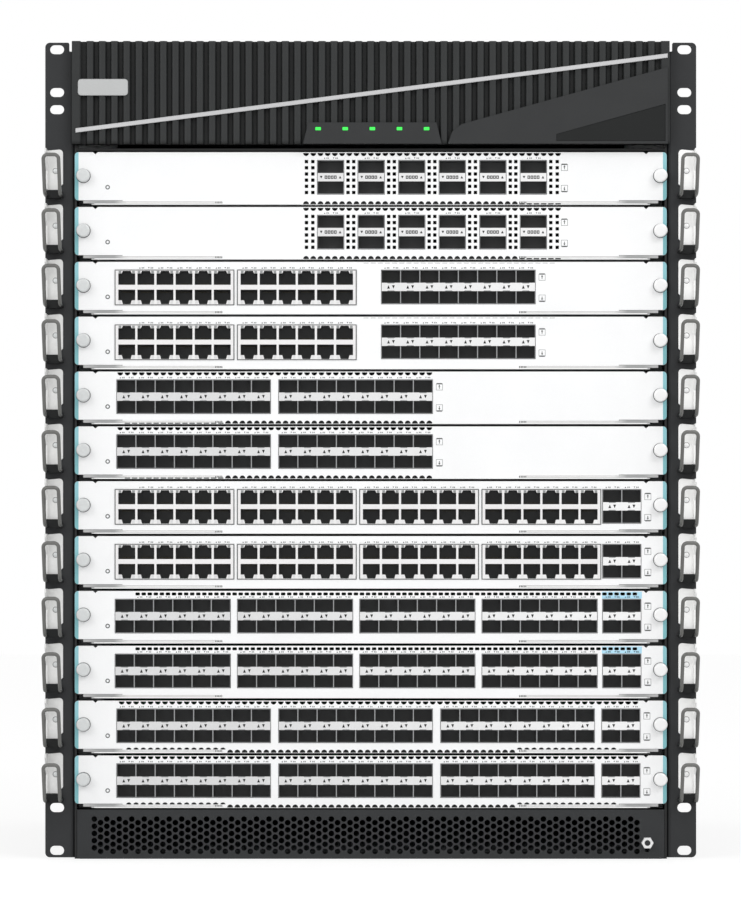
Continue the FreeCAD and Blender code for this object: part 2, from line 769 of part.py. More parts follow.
def card_blocks(design):
    """Port blocks of one card design, as (kind, columns, left edge)."""
    left = "-group_start"
    if design == "quad":
        return [("quad", 1, "-quad_start + %d * quad_pitch" % i) for i in range(6)]
    if design == "mixed":
        return [
            ("copper", 6, left),
            ("copper", 6, left + " + group_pitch_six"),
            ("optical", 8, "mixed_optical_start"),
        ]
    if design == "half_optical":
        return [("optical", 8, left + " + %d * group_pitch_eight" % i) for i in range(2)]
    if design == "full_copper":
        blocks = [("copper", 6, left + " + %d * group_pitch_six" % i) for i in range(4)]
    elif design == "six_optical":
        blocks = [("optical", 6, left + " + %d * group_pitch_six" % i) for i in range(4)]
    else:
        blocks = [("optical", 8, left + " + %d * group_pitch_eight" % i) for i in range(3)]
    return blocks + [("optical", 2, "uplink_start")]


DESIGNS = ("quad", "mixed", "half_optical", "full_copper", "six_optical", "eight_optical")


def card_base(index):
    """Height of the floor of a card's cell, counted from the top."""
    return "cage_low + (card_count - %d) * cell_pitch" % index


def make_line_card(index, design):
    """Folded sheet: faceplate, lip and tray with side walls, and two knobs."""
    body = new_body("line_card_%02d" % index, up=card_base(index))
    face = front_sketch(body, "face_outline", "face_front")
    right_half = [
        ("lip_end", "tray_gap"),
        ("lip_end", "arm_roof"),
        ("head_end", "arm_roof"),
        ("head_end", "head_roof"),
        ("face_half", "head_roof"),
        ("face_half", "face_top"),
    ]
    left_half = [("-(%s)" % x, z) for x, z in reversed(right_half)]
    add_outline(face, right_half + left_half)
    add_pad(body, face, "faceplate", "face_thickness")
    openings = front_sketch(body, "port_openings", "face_front")
    for kind, columns, left in card_blocks(design):
        width = block_width(kind, columns)
        add_rectangle(openings, left + " - block_clearance",
                      left + " + " + width + " + block_clearance",
                      "block_low - block_clearance",
                      "block_low + block_height + block_clearance")
    add_pocket(body, openings, "port_windows", "face_thickness")
    floor = front_sketch(body, "tray_section", "face_front")
    add_rectangle(floor, "-tray_half_width", "tray_half_width", "tray_gap", "tray_top")
    add_pad(body, floor, "tray_floor", "tray_depth - face_front")
    walls = front_sketch(body, "tray_wall_section", "tray_wall_start")
    for sign in ("-", ""):
        add_rectangle(walls, sign + "tray_half_width",
                      sign + "(tray_half_width - tray_wall_thickness)",
                      "tray_top", "board_low")
    add_pad(body, walls, "tray_walls", "tray_depth - tray_wall_start")
    knobs = front_sketch(body, "knob_outlines", "face_front")
    for sign in ("-", ""):
        add_polygon(knobs, sign + "knob_x", "knob_z", "knob_radius", KNOB_SIDES)
    add_pad(body, knobs, "thumbscrews", "knob_length", backward=False)
    return body


PORT_SIZES = {
    "copper": ("copper_width", "copper_pitch", "copper_depth"),
    "optical": ("optical_width", "optical_pitch", "optical_depth"),
    "quad": ("quad_width", "quad_pitch", "optical_depth"),
}


def make_port_board(index, design):
    """Circuit board with port blocks, light strips, heat sinks and rear plugs."""
    body = new_body("port_board_%02d" % index, up=card_base(index))
    board = new_sketch(body, "board_outline", "XY_Plane", "board_low")
    add_rectangle(board, "-board_half_width", "board_half_width", "board_front", "tray_depth")
    add_pad(body, board, "board", "board_thickness", backward=False)
    rear = new_sketch(body, "rear_plug_outline", "XY_Plane", "block_low")
    add_rectangle(rear, "-plug_row_half_width", "plug_row_half_width",
                  "plug_back - plug_row_depth", "plug_back")
    add_pad(body, rear, "rear_plugs", "plug_row_height", backward=False)
    sink = new_sketch(body, "sink_outline", "XY_Plane", "block_low")
    add_rectangle(sink, "-sink_width / 2", "sink_width / 2",
                  "(tray_depth - sink_depth) / 2", "(tray_depth + sink_depth) / 2")
    add_pad(body, sink, "heat_sink", "sink_height", backward=False)
    low = "block_low + block_rim"
    high = "block_low + block_height - block_rim"
    middle = "block_low + block_height / 2"
    for i, (kind, columns, left) in enumerate(card_blocks(design)):
        wide, pitch, deep = PORT_SIZES[kind]
        right = left + " + " + block_width(kind, columns)
        block = front_sketch(body, "block_outline_%d" % i, "block_front")
        add_rectangle(block, left, right, "block_low", "block_low + block_height")
        add_pad(body, block, "port_block_%d" % i, deep + " + cage_wall")
        margin = "copper_margin" if kind == "copper" else "block_rim"
        start = left + " + " + margin
        column = front_sketch(body, "port_outline_%d" % i, "block_front")
        add_rectangle(column, start, start + " + " + wide, low, high)
        first = add_pocket(body, column, "first_ports_%d" % i, deep)
        if columns > 1:
            add_pattern(body, first, "ports_%d" % i, "H_Axis",
                        "%d * %s" % (columns - 1, pitch), str(columns))
        strip = front_sketch(body, "strip_outline_%d" % i, "strip_front")
        add_rectangle(strip, left, right, middle + " - strip_height / 2",
                      middle + " + strip_height / 2")
        add_pad(body, strip, "light_strip_%d" % i, "strip_thickness")
    return body


def make_ejector_lever(index, side):
    """Flat pry lever: thin arm with a claw and a round hub, and a thicker head."""
    sign = "-" if side == "left" else ""
    body = new_body("ejector_lever_%02d_%s" % (index, side), up=card_base(index))
    front = "face_front + lever_set_back"
    back = "pivot_back - lever_hub_radius / 2"
    claw = sign + "(pivot_x + lever_claw_reach)"
    blade = new_sketch(body, "arm_outline", "XY_Plane", "lever_low")
    hub = add_arc(blade, sign + "pivot_x", "pivot_back", "lever_hub_radius", 60, 120)
    outer, inner = (2, 1) if sign else (1, 2)
    add_chain(blade, hub, inner, [
        (sign + "(pivot_x - lever_claw_reach)", back),
        (sign + "tip_end", back),
        (sign + "tip_end", front),
        (claw, front),
        (claw, back),
    ], hub, outer)
    add_pad(body, blade, "lever_arm", "lever_sheet", backward=False)
    head = new_sketch(body, "head_outline", "XY_Plane", "lever_low + lever_sheet")
    add_rectangle(head, claw, sign + "(head_end + lever_head_gap)", front, back)
    add_pad(body, head, "lever_head", "lever_head_thickness - lever_sheet", backward=False)
    return body


# ---------------------------------------------------------------------------
# Build, check and write
# ---------------------------------------------------------------------------
def build():
    """Make every sub-part and return them in order."""
    fill_sheet()
    made = [
        make_chassis_shell(),
        make_rack_ear("left_rack_ear", "-"),
        make_rack_ear("right_rack_ear", ""),
        make_backplane(),
        make_rear_panel(),
        make_top_bezel(),
        make_bezel_stripe(),
        make_indicator_panel(),
        make_wedge_cover(),
        make_intake_panel(),
        make_cable_brackets(),
        make_cable_hooks(),
    ]
    for index in range(1, int(number("card_count")) + 1):
        design = DESIGNS[(index - 1) // 2 % len(DESIGNS)]
        made.append(make_line_card(index, design))
        made.append(make_port_board(index, design))
        for side in ("left", "right"):
            made.append(make_ejector_lever(index, side))
    doc.recompute()
    return made


def check(made):
    """Stop with a plain message if anything failed to build."""
    for item in doc.Objects:
        for word in ("Invalid", "Error"):
            if word in item.State:
                raise RuntimeError("%s: %s" % (item.Name, item.State))
    for item in made:
        if item.Shape.isNull() or not item.Shape.isValid():
            raise RuntimeError("%s has no valid shape" % item.Label)


def write(made):
    """One STEP file for each sub-part."""
    os.makedirs("parts", exist_ok=True)
    for item in made:
        item.Shape.exportStep("parts/%s.step" % item.Label)
        print(item.Label, len(item.Shape.Solids), round(item.Shape.Volume))


parts = build()
check(parts)
write(parts)
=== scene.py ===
"""Looks of the modular chassis switch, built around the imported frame.

Lengths inside the makers are millimetres, in the frame's own axes: +X right,
+Y back, +Z up. Mesh data is scaled to metres when an object is made.
"""
import math

import bmesh
import bpy
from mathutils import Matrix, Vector


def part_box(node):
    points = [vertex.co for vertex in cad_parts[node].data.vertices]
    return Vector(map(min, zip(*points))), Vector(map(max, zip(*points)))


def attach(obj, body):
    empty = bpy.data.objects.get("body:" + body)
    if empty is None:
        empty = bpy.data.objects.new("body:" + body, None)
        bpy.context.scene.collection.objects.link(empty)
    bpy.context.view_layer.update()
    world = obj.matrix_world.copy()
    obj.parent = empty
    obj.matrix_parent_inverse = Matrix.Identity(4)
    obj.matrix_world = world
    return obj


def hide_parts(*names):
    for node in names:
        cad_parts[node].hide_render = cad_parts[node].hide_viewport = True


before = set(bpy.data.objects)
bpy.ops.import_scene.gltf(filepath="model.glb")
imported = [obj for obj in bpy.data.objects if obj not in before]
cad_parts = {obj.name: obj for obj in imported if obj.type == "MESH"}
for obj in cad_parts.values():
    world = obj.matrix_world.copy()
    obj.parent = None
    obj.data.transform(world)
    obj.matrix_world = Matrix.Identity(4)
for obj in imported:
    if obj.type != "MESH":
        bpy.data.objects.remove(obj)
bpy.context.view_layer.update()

MM = 0.001
CARDS = 12


def node_box(node):
    """Box of a CAD node in millimetres."""
    low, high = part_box(node)
    return [v / MM for v in low], [v / MM for v in high]


# --- Places taken from the frame ---
EAR_LOW, EAR_HIGH = node_box("right_rack_ear")
FACE_Y = EAR_LOW[1]
SHELL_HALF = EAR_LOW[0]
RACK_HALF = EAR_HIGH[0]
TOP_Z = EAR_HIGH[2]
CARD_LOW, CARD_HIGH = node_box("line_card_12")
TRAY_GAP = 0.6
CELL_BASE = CARD_LOW[2] - TRAY_GAP
CELL_PITCH = (node_box("line_card_01")[0][2] - CARD_LOW[2]) / (CARDS - 1)
FACE_HALF = CARD_HIGH[0]
CARD_EASE = 0.52
FACE_TOP = CARD_HIGH[2] - CELL_BASE - CARD_EASE
LIP_LOW = TRAY_GAP + CARD_EASE
FACE_THICK = 1.5
FACE_FRONT = FACE_Y - 1.8
BOARD_HIGH = node_box("port_board_12")[1]
BEZEL_LOW, BEZEL_HIGH = node_box("top_bezel")
LEVER_LOW, LEVER_HIGH = node_box("ejector_lever_12_right")
PIVOT_X = LEVER_HIGH[0] - 9.0
PIVOT_Y = FACE_Y + 7.0
ARM_ROOF = 3.4
HEAD_ROOF = 4.3
TIP_X = LEVER_LOW[0] - 2.4
LIP_END = TIP_X - 0.6
HEAD_END = PIVOT_X - 20.0
HEAD_VENTS = HEAD_END - 3.0


def cell(index):
    """Floor of the cell of a card, counted from the top."""
    return CELL_BASE + (CARDS - index) * CELL_PITCH


# --- Materials ---
def linear(value):
    """Display value to scene-linear value."""
    if value <= 0.04045:
        return value / 12.92
    return ((value + 0.055) / 1.055) ** 2.4


def shade(color, factor):
    """Colour with its tone scaled, ready for a socket."""
    return [linear(min(1.0, c * factor)) for c in color] + [1.0]


def set_inputs(node, **values):
    """Set a node's inputs by name, with _ for a space."""
    for name, value in values.items():
        node.inputs[name.replace("_", " ")].default_value = value
    return node


def add_node(tree, kind, **values):
    """New shader node with some of its inputs set."""
    return set_inputs(tree.nodes.new("ShaderNode" + kind), **values)


def math_node(tree, operation, first, second=None):
    """Math on a socket and, where it takes two, a number or another socket."""
    node = add_node(tree, "Math")
    node.operation = operation
    tree.links.new(first, node.inputs[0])
    if isinstance(second, float):
        node.inputs[1].default_value = second
    elif second:
        tree.links.new(second, node.inputs[1])
    return node.outputs["Value"]


ROUGH_SPREAD = 0.06
RELIEF_DEPTH = 0.0004


def finish(name, color, rough=0.5, metal=0.0, spread=0.05, scale=900.0, bump=0.04,
           streak=(1, 1, 1), coat=0.0, gloss=0.5):
    """Surface with a mottled tone, a varied roughness and a fine relief."""
    material = bpy.data.materials.new(name)
    material.use_nodes = True
    tree = material.node_tree
    link = tree.links.new
    shader = tree.nodes["Principled BSDF"]
    set_inputs(shader, Metallic=metal, Coat_Weight=coat, Specular_IOR_Level=gloss)
    place = add_node(tree, "TexCoord")
    mapping = add_node(tree, "Mapping", Scale=streak)
    link(place.outputs["Object"], mapping.inputs["Vector"])
    grain = add_node(tree, "TexNoise", Scale=scale, Detail=3.0)
    cloud = add_node(tree, "TexNoise", Scale=scale / 60.0, Detail=2.0)
    both = add_node(tree, "Mix", Factor=0.5)
    for noise, side in ((grain, "A"), (cloud, "B")):
        link(mapping.outputs["Vector"], noise.inputs["Vector"])
        link(noise.outputs["Fac"], both.inputs[side])
    ramp = add_node(tree, "ValToRGB")
    dark, light = ramp.color_ramp.elements
    dark.position = 0.3
    dark.color = shade(color, 1.0 - spread)
    light.position = 0.7
    light.color = shade(color, 1.0 + spread)
    link(both.outputs["Result"], ramp.inputs["Fac"])
    link(ramp.outputs["Color"], shader.inputs["Base Color"])
    level = add_node(tree, "MapRange", To_Min=max(0.05, rough - ROUGH_SPREAD),
                     To_Max=min(1.0, rough + ROUGH_SPREAD))
    link(grain.outputs["Fac"], level.inputs["Value"])
    link(level.outputs["Result"], shader.inputs["Roughness"])
    relief = add_node(tree, "Bump", Strength=bump, Distance=RELIEF_DEPTH)
    link(grain.outputs["Fac"], relief.inputs["Height"])
    link(relief.outputs["Normal"], shader.inputs["Normal"])
    return material


def grade(material, axis, low, high, color, fold=False, pitch=0.0):
    """Blend the colour towards another between two places on an axis, in millimetres.

    fold measures from the middle outwards; pitch starts again at the floor of every cell.
    """
    tree = material.node_tree
    link = tree.links.new
    target = tree.nodes["Principled BSDF"].inputs["Base Color"]
    before = target.links[0].from_socket
    place = add_node(tree, "TexCoord")
    split = add_node(tree, "SeparateXYZ")
    link(place.outputs["Object"], split.inputs["Vector"])
    value = split.outputs[axis]
    if fold:
        value = math_node(tree, "ABSOLUTE", value)
    if pitch:
        value = math_node(tree, "SUBTRACT", value, CELL_BASE * MM)
        value = math_node(tree, "FLOORED_MODULO", value, pitch * MM)
    level = add_node(tree, "MapRange", From_Min=low * MM, From_Max=high * MM)
    link(value, level.inputs["Value"])
    blend = add_node(tree, "Mix")
    blend.data_type = "RGBA"
    blend.inputs[7].default_value = shade(color, 1.0)
    link(level.outputs["Result"], blend.inputs[0])
    link(before, blend.inputs[6])
    link(blend.outputs[2], target)


def glow(name, color, strength):
    """Lamp window: tinted plastic with its own light."""
    material = finish(name, color, rough=0.3, spread=0.08, scale=1500.0)
    set_inputs(material.node_tree.nodes["Principled BSDF"], Emission_Color=shade(color, 1.0),
               Emission_Strength=strength)
    return material


def dull(name, color, **how):
    """Dark coat or plastic with little gloss."""
    return finish(name, color, gloss=0.2, **how)


EAR_COAT = dull("ear_coat", (0.192, 0.196, 0.201), rough=0.55, bump=0.12, scale=2600.0)
# Painted shade: the ear darkens in its fold beside the shell.
grade(EAR_COAT, "X", SHELL_HALF + 2.6, SHELL_HALF + 1.2, (0.10, 0.105, 0.11), fold=True)
PAN_COAT = dull("pan_coat", (0.198, 0.203, 0.208), rough=0.55, bump=0.12, scale=2600.0)
BEZEL = dull("bezel_plastic", (0.186, 0.192, 0.193), bump=0.08, scale=2200.0)
# Painted shade: rib flanks and valleys more than 2.4 mm behind the crests are darker.
grade(BEZEL, "Y", BEZEL_LOW[1] + 0.9, BEZEL_LOW[1] + 2.4, (0.135, 0.14, 0.14))
# Painted shadow: the bottom 3 mm of the bezel fades to near black.
grade(BEZEL, "Z", BEZEL_LOW[2] + 3.0, BEZEL_LOW[2], (0.07, 0.075, 0.075))
TRIM = dull("trim_plastic", (0.196, 0.2, 0.203), bump=0.05, scale=2400.0)
TRIM_DARK = dull("sunk_trim", (0.10, 0.106, 0.106), rough=0.55, bump=0.05, scale=2400.0)
SHELL = finish("painted_shell", (0.70, 0.71, 0.72), rough=0.45, metal=0.2, spread=0.06, scale=300.0)
SHELL_DARK = (0.07, 0.075, 0.08)
grade(SHELL, "X", SHELL_HALF - 0.5, SHELL_HALF - 0.4, SHELL_DARK, fold=True)
grade(SHELL, "Y", FACE_Y + 26.0, FACE_Y + 14.0, (0.045, 0.05, 0.055))
grade(SHELL, "Z", TOP_Z - 2.2, TOP_Z - 2.0, SHELL_DARK)
grade(SHELL, "Z", 1.2, 1.0, SHELL_DARK)
REAR = dull("rear_coat", (0.19, 0.195, 0.2), rough=0.55, bump=0.1, scale=2400.0)
STRIPE = finish("bright_strip", (0.77, 0.77, 0.775), rough=0.3, metal=0.25, spread=0.03,
                streak=(1, 1, 12), coat=0.3)
BADGE = finish("badge_plate", (0.73, 0.735, 0.735), rough=0.35, metal=0.2, spread=0.02)
CARD = finish("card_coat", (0.98, 0.982, 0.984), rough=0.42, spread=0.012, scale=1800.0, bump=0.02)
CARD_EDGE = finish("card_edge_band", (0.49, 0.73, 0.755), rough=0.4, spread=0.04, scale=90.0)
grade(CARD_EDGE, "Z", 12.0, FACE_TOP - 6.0, (0.575, 0.80, 0.835), pitch=CELL_PITCH)
UPLINK_BAND = finish("uplink_band", (0.70, 0.88, 0.96), rough=0.45, spread=0.03, scale=400.0)
ZINC = finish("zinc_sheet", (0.70, 0.71, 0.72), rough=0.38, metal=0.85, spread=0.07,
              scale=300.0, bump=0.03)
BRACKET = finish("zinc_bracket", (0.89, 0.89, 0.885), rough=0.38, metal=0.08, spread=0.03,
                 scale=420.0, bump=0.03)
# Painted light: the brackets grow lighter from left to right, as if lit from the right.
grade(BRACKET, "X", -200.0, 200.0, (1.0, 1.0, 0.995))
HOOK = finish("hook_coat", (0.43, 0.43, 0.42), rough=0.42, metal=0.35, spread=0.06, scale=1500.0,
              bump=0.06)
# Painted shade: the hook roots darken where they run back under the legs towards the ear.
grade(HOOK, "Y", FACE_Y - 20.0, FACE_Y - 14.0, (0.12, 0.122, 0.124))
# Black plastic, also used for painted shade in and below the card vents.
BLACK_AND_SHADE = dull("black_plastic_and_shade", (0.10, 0.105, 0.105), rough=0.55, spread=0.08, scale=1600.0)
PORT = dull("port_plastic", (0.375, 0.378, 0.38), rough=0.6, scale=1400.0)
JACK = finish("jack_shield", (0.93, 0.925, 0.925), rough=0.4, metal=0.1, spread=0.02)
CAGE = finish("cage_steel", (0.60, 0.605, 0.61), rough=0.32, metal=0.6, scale=700.0)
LIGHT_PIPE = finish("light_strip", (0.86, 0.86, 0.862), rough=0.4, spread=0.02)
# Painted light: the strips grow lighter to the right, as if lit from the right.
grade(LIGHT_PIPE, "X", -120.0, 200.0, (0.965, 0.965, 0.965))
LEVER = finish("lever_steel", (0.90, 0.90, 0.895), rough=0.4, metal=0.2, spread=0.03, scale=500.0)
# Painted shade: the lever head is darker grey than the pale arm, as its shaded side, and a little
# lighter again past the pivot.
grade(LEVER, "X", HEAD_END - 4.0, HEAD_END + 6.0, (0.63, 0.635, 0.635), fold=True)
grade(LEVER, "X", PIVOT_X - 2.0, PIVOT_X + 6.0, (0.72, 0.72, 0.72), fold=True)
KNOB = finish("knob_metal", (0.83, 0.84, 0.84), rough=0.33, metal=0.25, spread=0.03, scale=700.0)
# Painted light: knobs and rivet domes grow lighter to the right, as if lit from the right.
grade(KNOB, "X", -150.0, 150.0, (0.96, 0.96, 0.96))
GOLD = finish("contact_gold", (0.27, 0.24, 0.15), rough=0.3, metal=0.6, spread=0.06)
PCB = finish("solder_mask", (0.08, 0.30, 0.20), rough=0.4, spread=0.15, scale=260.0, coat=0.3)
CHIP = finish("chip_epoxy", (0.10, 0.10, 0.11), rough=0.45, spread=0.08)
ALLOY = finish("heat_sink_alloy", (0.74, 0.75, 0.76), rough=0.35, metal=0.85, spread=0.04,
               streak=(1, 8, 1))
# Grey print, also used for painted shadow rings and painted shade at vents.
INK_AND_SHADE = finish("grey_print_and_shade", (0.31, 0.32, 0.32), rough=0.6)
INK_PALE = finish("pale_print", (0.56, 0.57, 0.57), rough=0.6, spread=0.04)
LAMP = glow("green_lamp", (0.20, 0.78, 0.28), 0.9)
CHROME = finish("plated_nut", (0.93, 0.93, 0.93), rough=0.3, metal=0.3, spread=0.03)


# --- Mesh building ---
def about(middle, half):
    """Low and high end of a span about its middle."""
    return middle - half, middle + half


def circle(centre, radius, sides):
    """Corners of a regular figure round a centre, as (a, b)."""
    angles = [math.tau * i / sides for i in range(sides)]
    return [(centre[0] + radius * math.cos(t), centre[1] + radius * math.sin(t)) for t in angles]


def flip(points, sign):
    """Points mirrored to the side of a sign, 1 or -1."""
    return [(sign * a, b) for a, b in points]


class Shape:
    """Vertices and faces in millimetres, gathered under several materials."""

    def __init__(self):
        self.points = []
        self.faces = []
        self.slots = []
        self.materials = []

    def add(self, points, faces, material):
        if material not in self.materials:
            self.materials.append(material)
        start = len(self.points)
        self.points += points
        self.faces += [[start + i for i in face] for face in faces]
        self.slots += [self.materials.index(material)] * len(faces)

    def box(self, x, y, z, material):
        """Box between (low, high) pairs."""
        (x0, x1), (y0, y1), (z0, z1) = sorted(x), sorted(y), sorted(z)
        points = [(a, b, c) for a in (x0, x1) for b in (y0, y1) for c in (z0, z1)]
        faces = [(0, 1, 3, 2), (4, 6, 7, 5), (0, 4, 5, 1), (2, 3, 7, 6), (0, 2, 6, 4),
                 (1, 5, 7, 3)]
        self.add(points, faces, material)

    def loft(self, rings, material, caps=True):
        """Skin over closed rings with the same number of points."""
        count = len(rings[0])
        last = (len(rings) - 1) * count
        faces = []
        for a in range(0, last, count):
            b = a + count
            for i in range(count):
                j = (i + 1) % count
                faces.append((a + i, a + j, b + j, b + i))
        if caps:
            faces += [tuple(reversed(range(count))), tuple(range(last, last + count))]
        self.add([p for ring in rings for p in ring], faces, material)

    def prism(self, outline, y, material):
        """Outline in (x, z) carried along Y."""
        self.loft([[(a, v, b) for a, b in outline] for v in y], material)

    def prism_up(self, outline, z, material):
        """Outline in (x, y) carried along Z."""
        self.loft([[(a, b, v) for a, b in outline] for v in z], material)

    def lathe(self, centre, profile, material, sides=32):
        """Profile of (radius, y) turned about the Y axis through centre (x, z)."""
        self.loft([[(a, y, b) for a, b in circle(centre, radius, sides)]
                   for radius, y in profile], material)

    def lathe_up(self, centre, profile, material, sides):
        """Profile of (radius, z) turned about the Z axis through centre (x, y)."""
        self.loft([[(a, b, z) for a, b in circle(centre, radius, sides)]
                   for radius, z in profile], material)

    def plate(self, outline, holes, y, material, edge=0.12):
        """Sheet in the XZ plane between two y values, with holes and eased edges."""
        curve = bpy.data.curves.new("plate_outline", "CURVE")
        curve.dimensions = "2D"
        curve.fill_mode = "BOTH"
        curve.extrude = abs(y[1] - y[0]) / 2 - edge
        curve.bevel_depth = edge
        curve.bevel_resolution = 0
        curve.offset = -edge
        for loop in [outline] + holes:
            spline = curve.splines.new("POLY")
            spline.points.add(len(loop) - 1)
            for i, (a, b) in enumerate(loop):
                spline.points[i].co = (a, b, 0, 1)
            spline.use_cyclic_u = True
        holder = bpy.data.objects.new("plate_holder", curve)
        mesh = bpy.data.meshes.new_from_object(holder)
        middle = (y[0] + y[1]) / 2
        self.add([(v.co.x, middle - v.co.z, v.co.y) for v in mesh.vertices],
                 [tuple(f.vertices) for f in mesh.polygons], material)
        bpy.data.objects.remove(holder)
        bpy.data.curves.remove(curve)
        bpy.data.meshes.remove(mesh)

    def sweep(self, path, radius, material, sides=12):
        """Round bar along a path of points."""
        count = len(path)
        rings = []
        side = None
        for i in range(count):
            before = Vector(path[max(0, i - 1)])
            after = Vector(path[min(count - 1, i + 1)])
            ahead = (after - before).normalized()
            if side is None:
                guess = Vector((1, 0, 0)) if abs(ahead.x) < 0.9 else Vector((0, 1, 0))
                side = ahead.cross(guess).normalized()
            side = (side - ahead * side.dot(ahead)).normalized()
            up = ahead.cross(side)
            here = Vector(path[i])
            rings.append([tuple(here + a * side + b * up)
                          for a, b in circle((0.0, 0.0), radius, sides)])
        self.loft(rings, material)

    def make(self, name, slot, node=None, body="chassis", bevel=0.0, smooth=30.0):
        """Object in metres that rides on a body, and may stand for a CAD node."""
        mesh = bpy.data.meshes.new(name)
        mesh.from_pydata([(a * MM, b * MM, c * MM) for a, b, c in self.points], [], self.faces)
        for material in self.materials:
            mesh.materials.append(material)
        mesh.polygons.foreach_set("material_index", self.slots)
        mesh.update()
        piece = bpy.data.objects.new(name, mesh)
        bpy.context.scene.collection.objects.link(piece)
        tidy_normals(mesh)
        if smooth:
            mesh.shade_smooth()
            mesh.set_sharp_from_angle(angle=math.radians(smooth))
        if bevel:
            ease(piece, bevel)
        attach(piece, body)
        if node:
            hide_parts(node)

    def make_on_card(self, name, index, slot, node=None, **how):
        """The same for a card, whose number ends every name."""
        end = "_%02d" % index
        self.make(name + end, slot, node and node + end, "card" + end, **how)


def tidy_normals(mesh):
    """Turn every closed skin's faces outwards."""
    work = bmesh.new()
    work.from_mesh(mesh)
    bmesh.ops.remove_doubles(work, verts=work.verts, dist=0.000001)
    bmesh.ops.recalc_face_normals(work, faces=work.faces)
    work.to_mesh(mesh)
    work.free()


def ease(piece, width):
    """Small worked edge on every corner sharper than 40 degrees."""
    bevel = piece.modifiers.new("edge", "BEVEL")
    bevel.width = width * MM
    bevel.segments = 2
    bevel.limit_method = "ANGLE"
    bevel.angle_limit = math.radians(40)
    bevel.harden_normals = False


def dress(node, material, bevel):
    """Give a CAD node that stays its finish and eased edges."""
    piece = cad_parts[node]
    piece.data.materials.clear()
    piece.data.materials.append(material)
    if bevel:
        ease(piece, bevel)


# --- Outlines in (x, z) ---
def arc(cx, cz, radius, start, end, steps):
    """Points of an arc, angles in degrees."""
    angles = [math.radians(t) for t in steps_between(start, end, steps + 1)]
    return [(cx + radius * math.cos(t), cz + radius * math.sin(t)) for t in angles]


def rectangle(x0, x1, z0, z1):
    return [(x0, z0), (x1, z0), (x1, z1), (x0, z1)]


def rounded(x0, x1, z0, z1, radius, steps=5):
    return (arc(x1 - radius, z0 + radius, radius, -90, 0, steps)
            + arc(x1 - radius, z1 - radius, radius, 0, 90, steps)
            + arc(x0 + radius, z1 - radius, radius, 90, 180, steps)
            + arc(x0 + radius, z0 + radius, radius, 180, 270, steps))


def obround(cx, cz, length, width, steps=12):
    reach = (length - width) / 2
    return (arc(cx + reach, cz, width / 2, -90, 90, steps)
            + arc(cx - reach, cz, width / 2, 90, 270, steps))


def half_round(cx, flat_z, width, height, upward, steps=8):
    """Half-oval vent with its flat side at flat_z."""
    reach = height if upward else -height
    angles = steps_between(0.0, math.pi, steps + 1)
    return [(cx + width / 2 * math.cos(t), flat_z + reach * math.sin(t)) for t in angles]


def steps_between(first, last, count):
    return [first + (last - first) * i / (count - 1) for i in range(count)]


# --- Rack ears ---
SLOT_X = 232.55
SLOT_LENGTH = 10.4
SLOT_WIDTH = 6.8
SLOT_HEIGHTS = (6.1375, 37.8875, 555.4125, 568.1125, 599.8625)
EAR_SHEET = 2.0
EAR_FOLD = 2.6
EAR_CORNER = 3.5
RELIEF_WIDTH = 4.0
RELIEF_HEIGHT = 6.6
SCREW_BACK = 48.0
# Radius and how far it stands out, for each ring of a screw head.
WING_SCREW = ((2.6, 0.0), (2.6, 0.3), (1.9, 0.9), (0.6, 1.1))


def make_ear(side, sign):
    """Slotted flange, rounded fold and side wing of one bent sheet."""
    shape = Shape()
    low = EAR_LOW[2]
    inner = SHELL_HALF + EAR_FOLD
    cut_x = SHELL_HALF + RELIEF_WIDTH
    cut_z = TOP_Z - RELIEF_HEIGHT
    corner_x = RACK_HALF - EAR_CORNER
    outline = [(inner, low)]
    outline += arc(corner_x, low + EAR_CORNER, EAR_CORNER, -90, 0, 8)
    outline += arc(corner_x, TOP_Z - EAR_CORNER, EAR_CORNER, 0, 90, 8)
    outline += arc(cut_x + 1.2, TOP_Z - 1.2, 1.2, 90, 180, 4)
    outline += [(cut_x, cut_z + 0.6), (cut_x - 0.6, cut_z), (inner, cut_z)]
    holes = [obround(SLOT_X, z, SLOT_LENGTH, SLOT_WIDTH) for z in SLOT_HEIGHTS]
    shape.plate(flip(outline, sign), [flip(hole, sign) for hole in holes],
                (FACE_Y, FACE_Y + EAR_SHEET), EAR_COAT, edge=0.2)
    fold_y = FACE_Y + EAR_FOLD
    fold = arc(inner, fold_y, EAR_FOLD, -90, -180, 6)
    fold += arc(inner, fold_y, EAR_FOLD - EAR_SHEET, 180, 270, 6)
    shape.prism_up(flip(fold, sign), (low, cut_z), EAR_COAT)
    shape.box((sign * SHELL_HALF, sign * (SHELL_HALF + EAR_SHEET)), (fold_y, EAR_HIGH[1]),
              (low, cut_z), EAR_COAT)
    for z in (low + 20.0, low + 150.0, (low + cut_z) / 2, cut_z - 150.0, cut_z - 20.0):
        rings = []
        for radius, reach in WING_SCREW:
            x = sign * (SHELL_HALF + EAR_SHEET + reach)
            rings.append([(x, a, b) for a, b in circle((FACE_Y + SCREW_BACK, z), radius, 20)])
        shape.loft(rings, ZINC)
    shape.make("rack_ear_" + side, "dark_coat", side + "_rack_ear")


# --- Top bezel and trims ---
RIBS = 47
RIB_SPAN = 415.0
RIB_CREST = 4.9
RIB_ROOT = 6.6
RIB_DEPTH = 4.0
END_LAND = 6.6


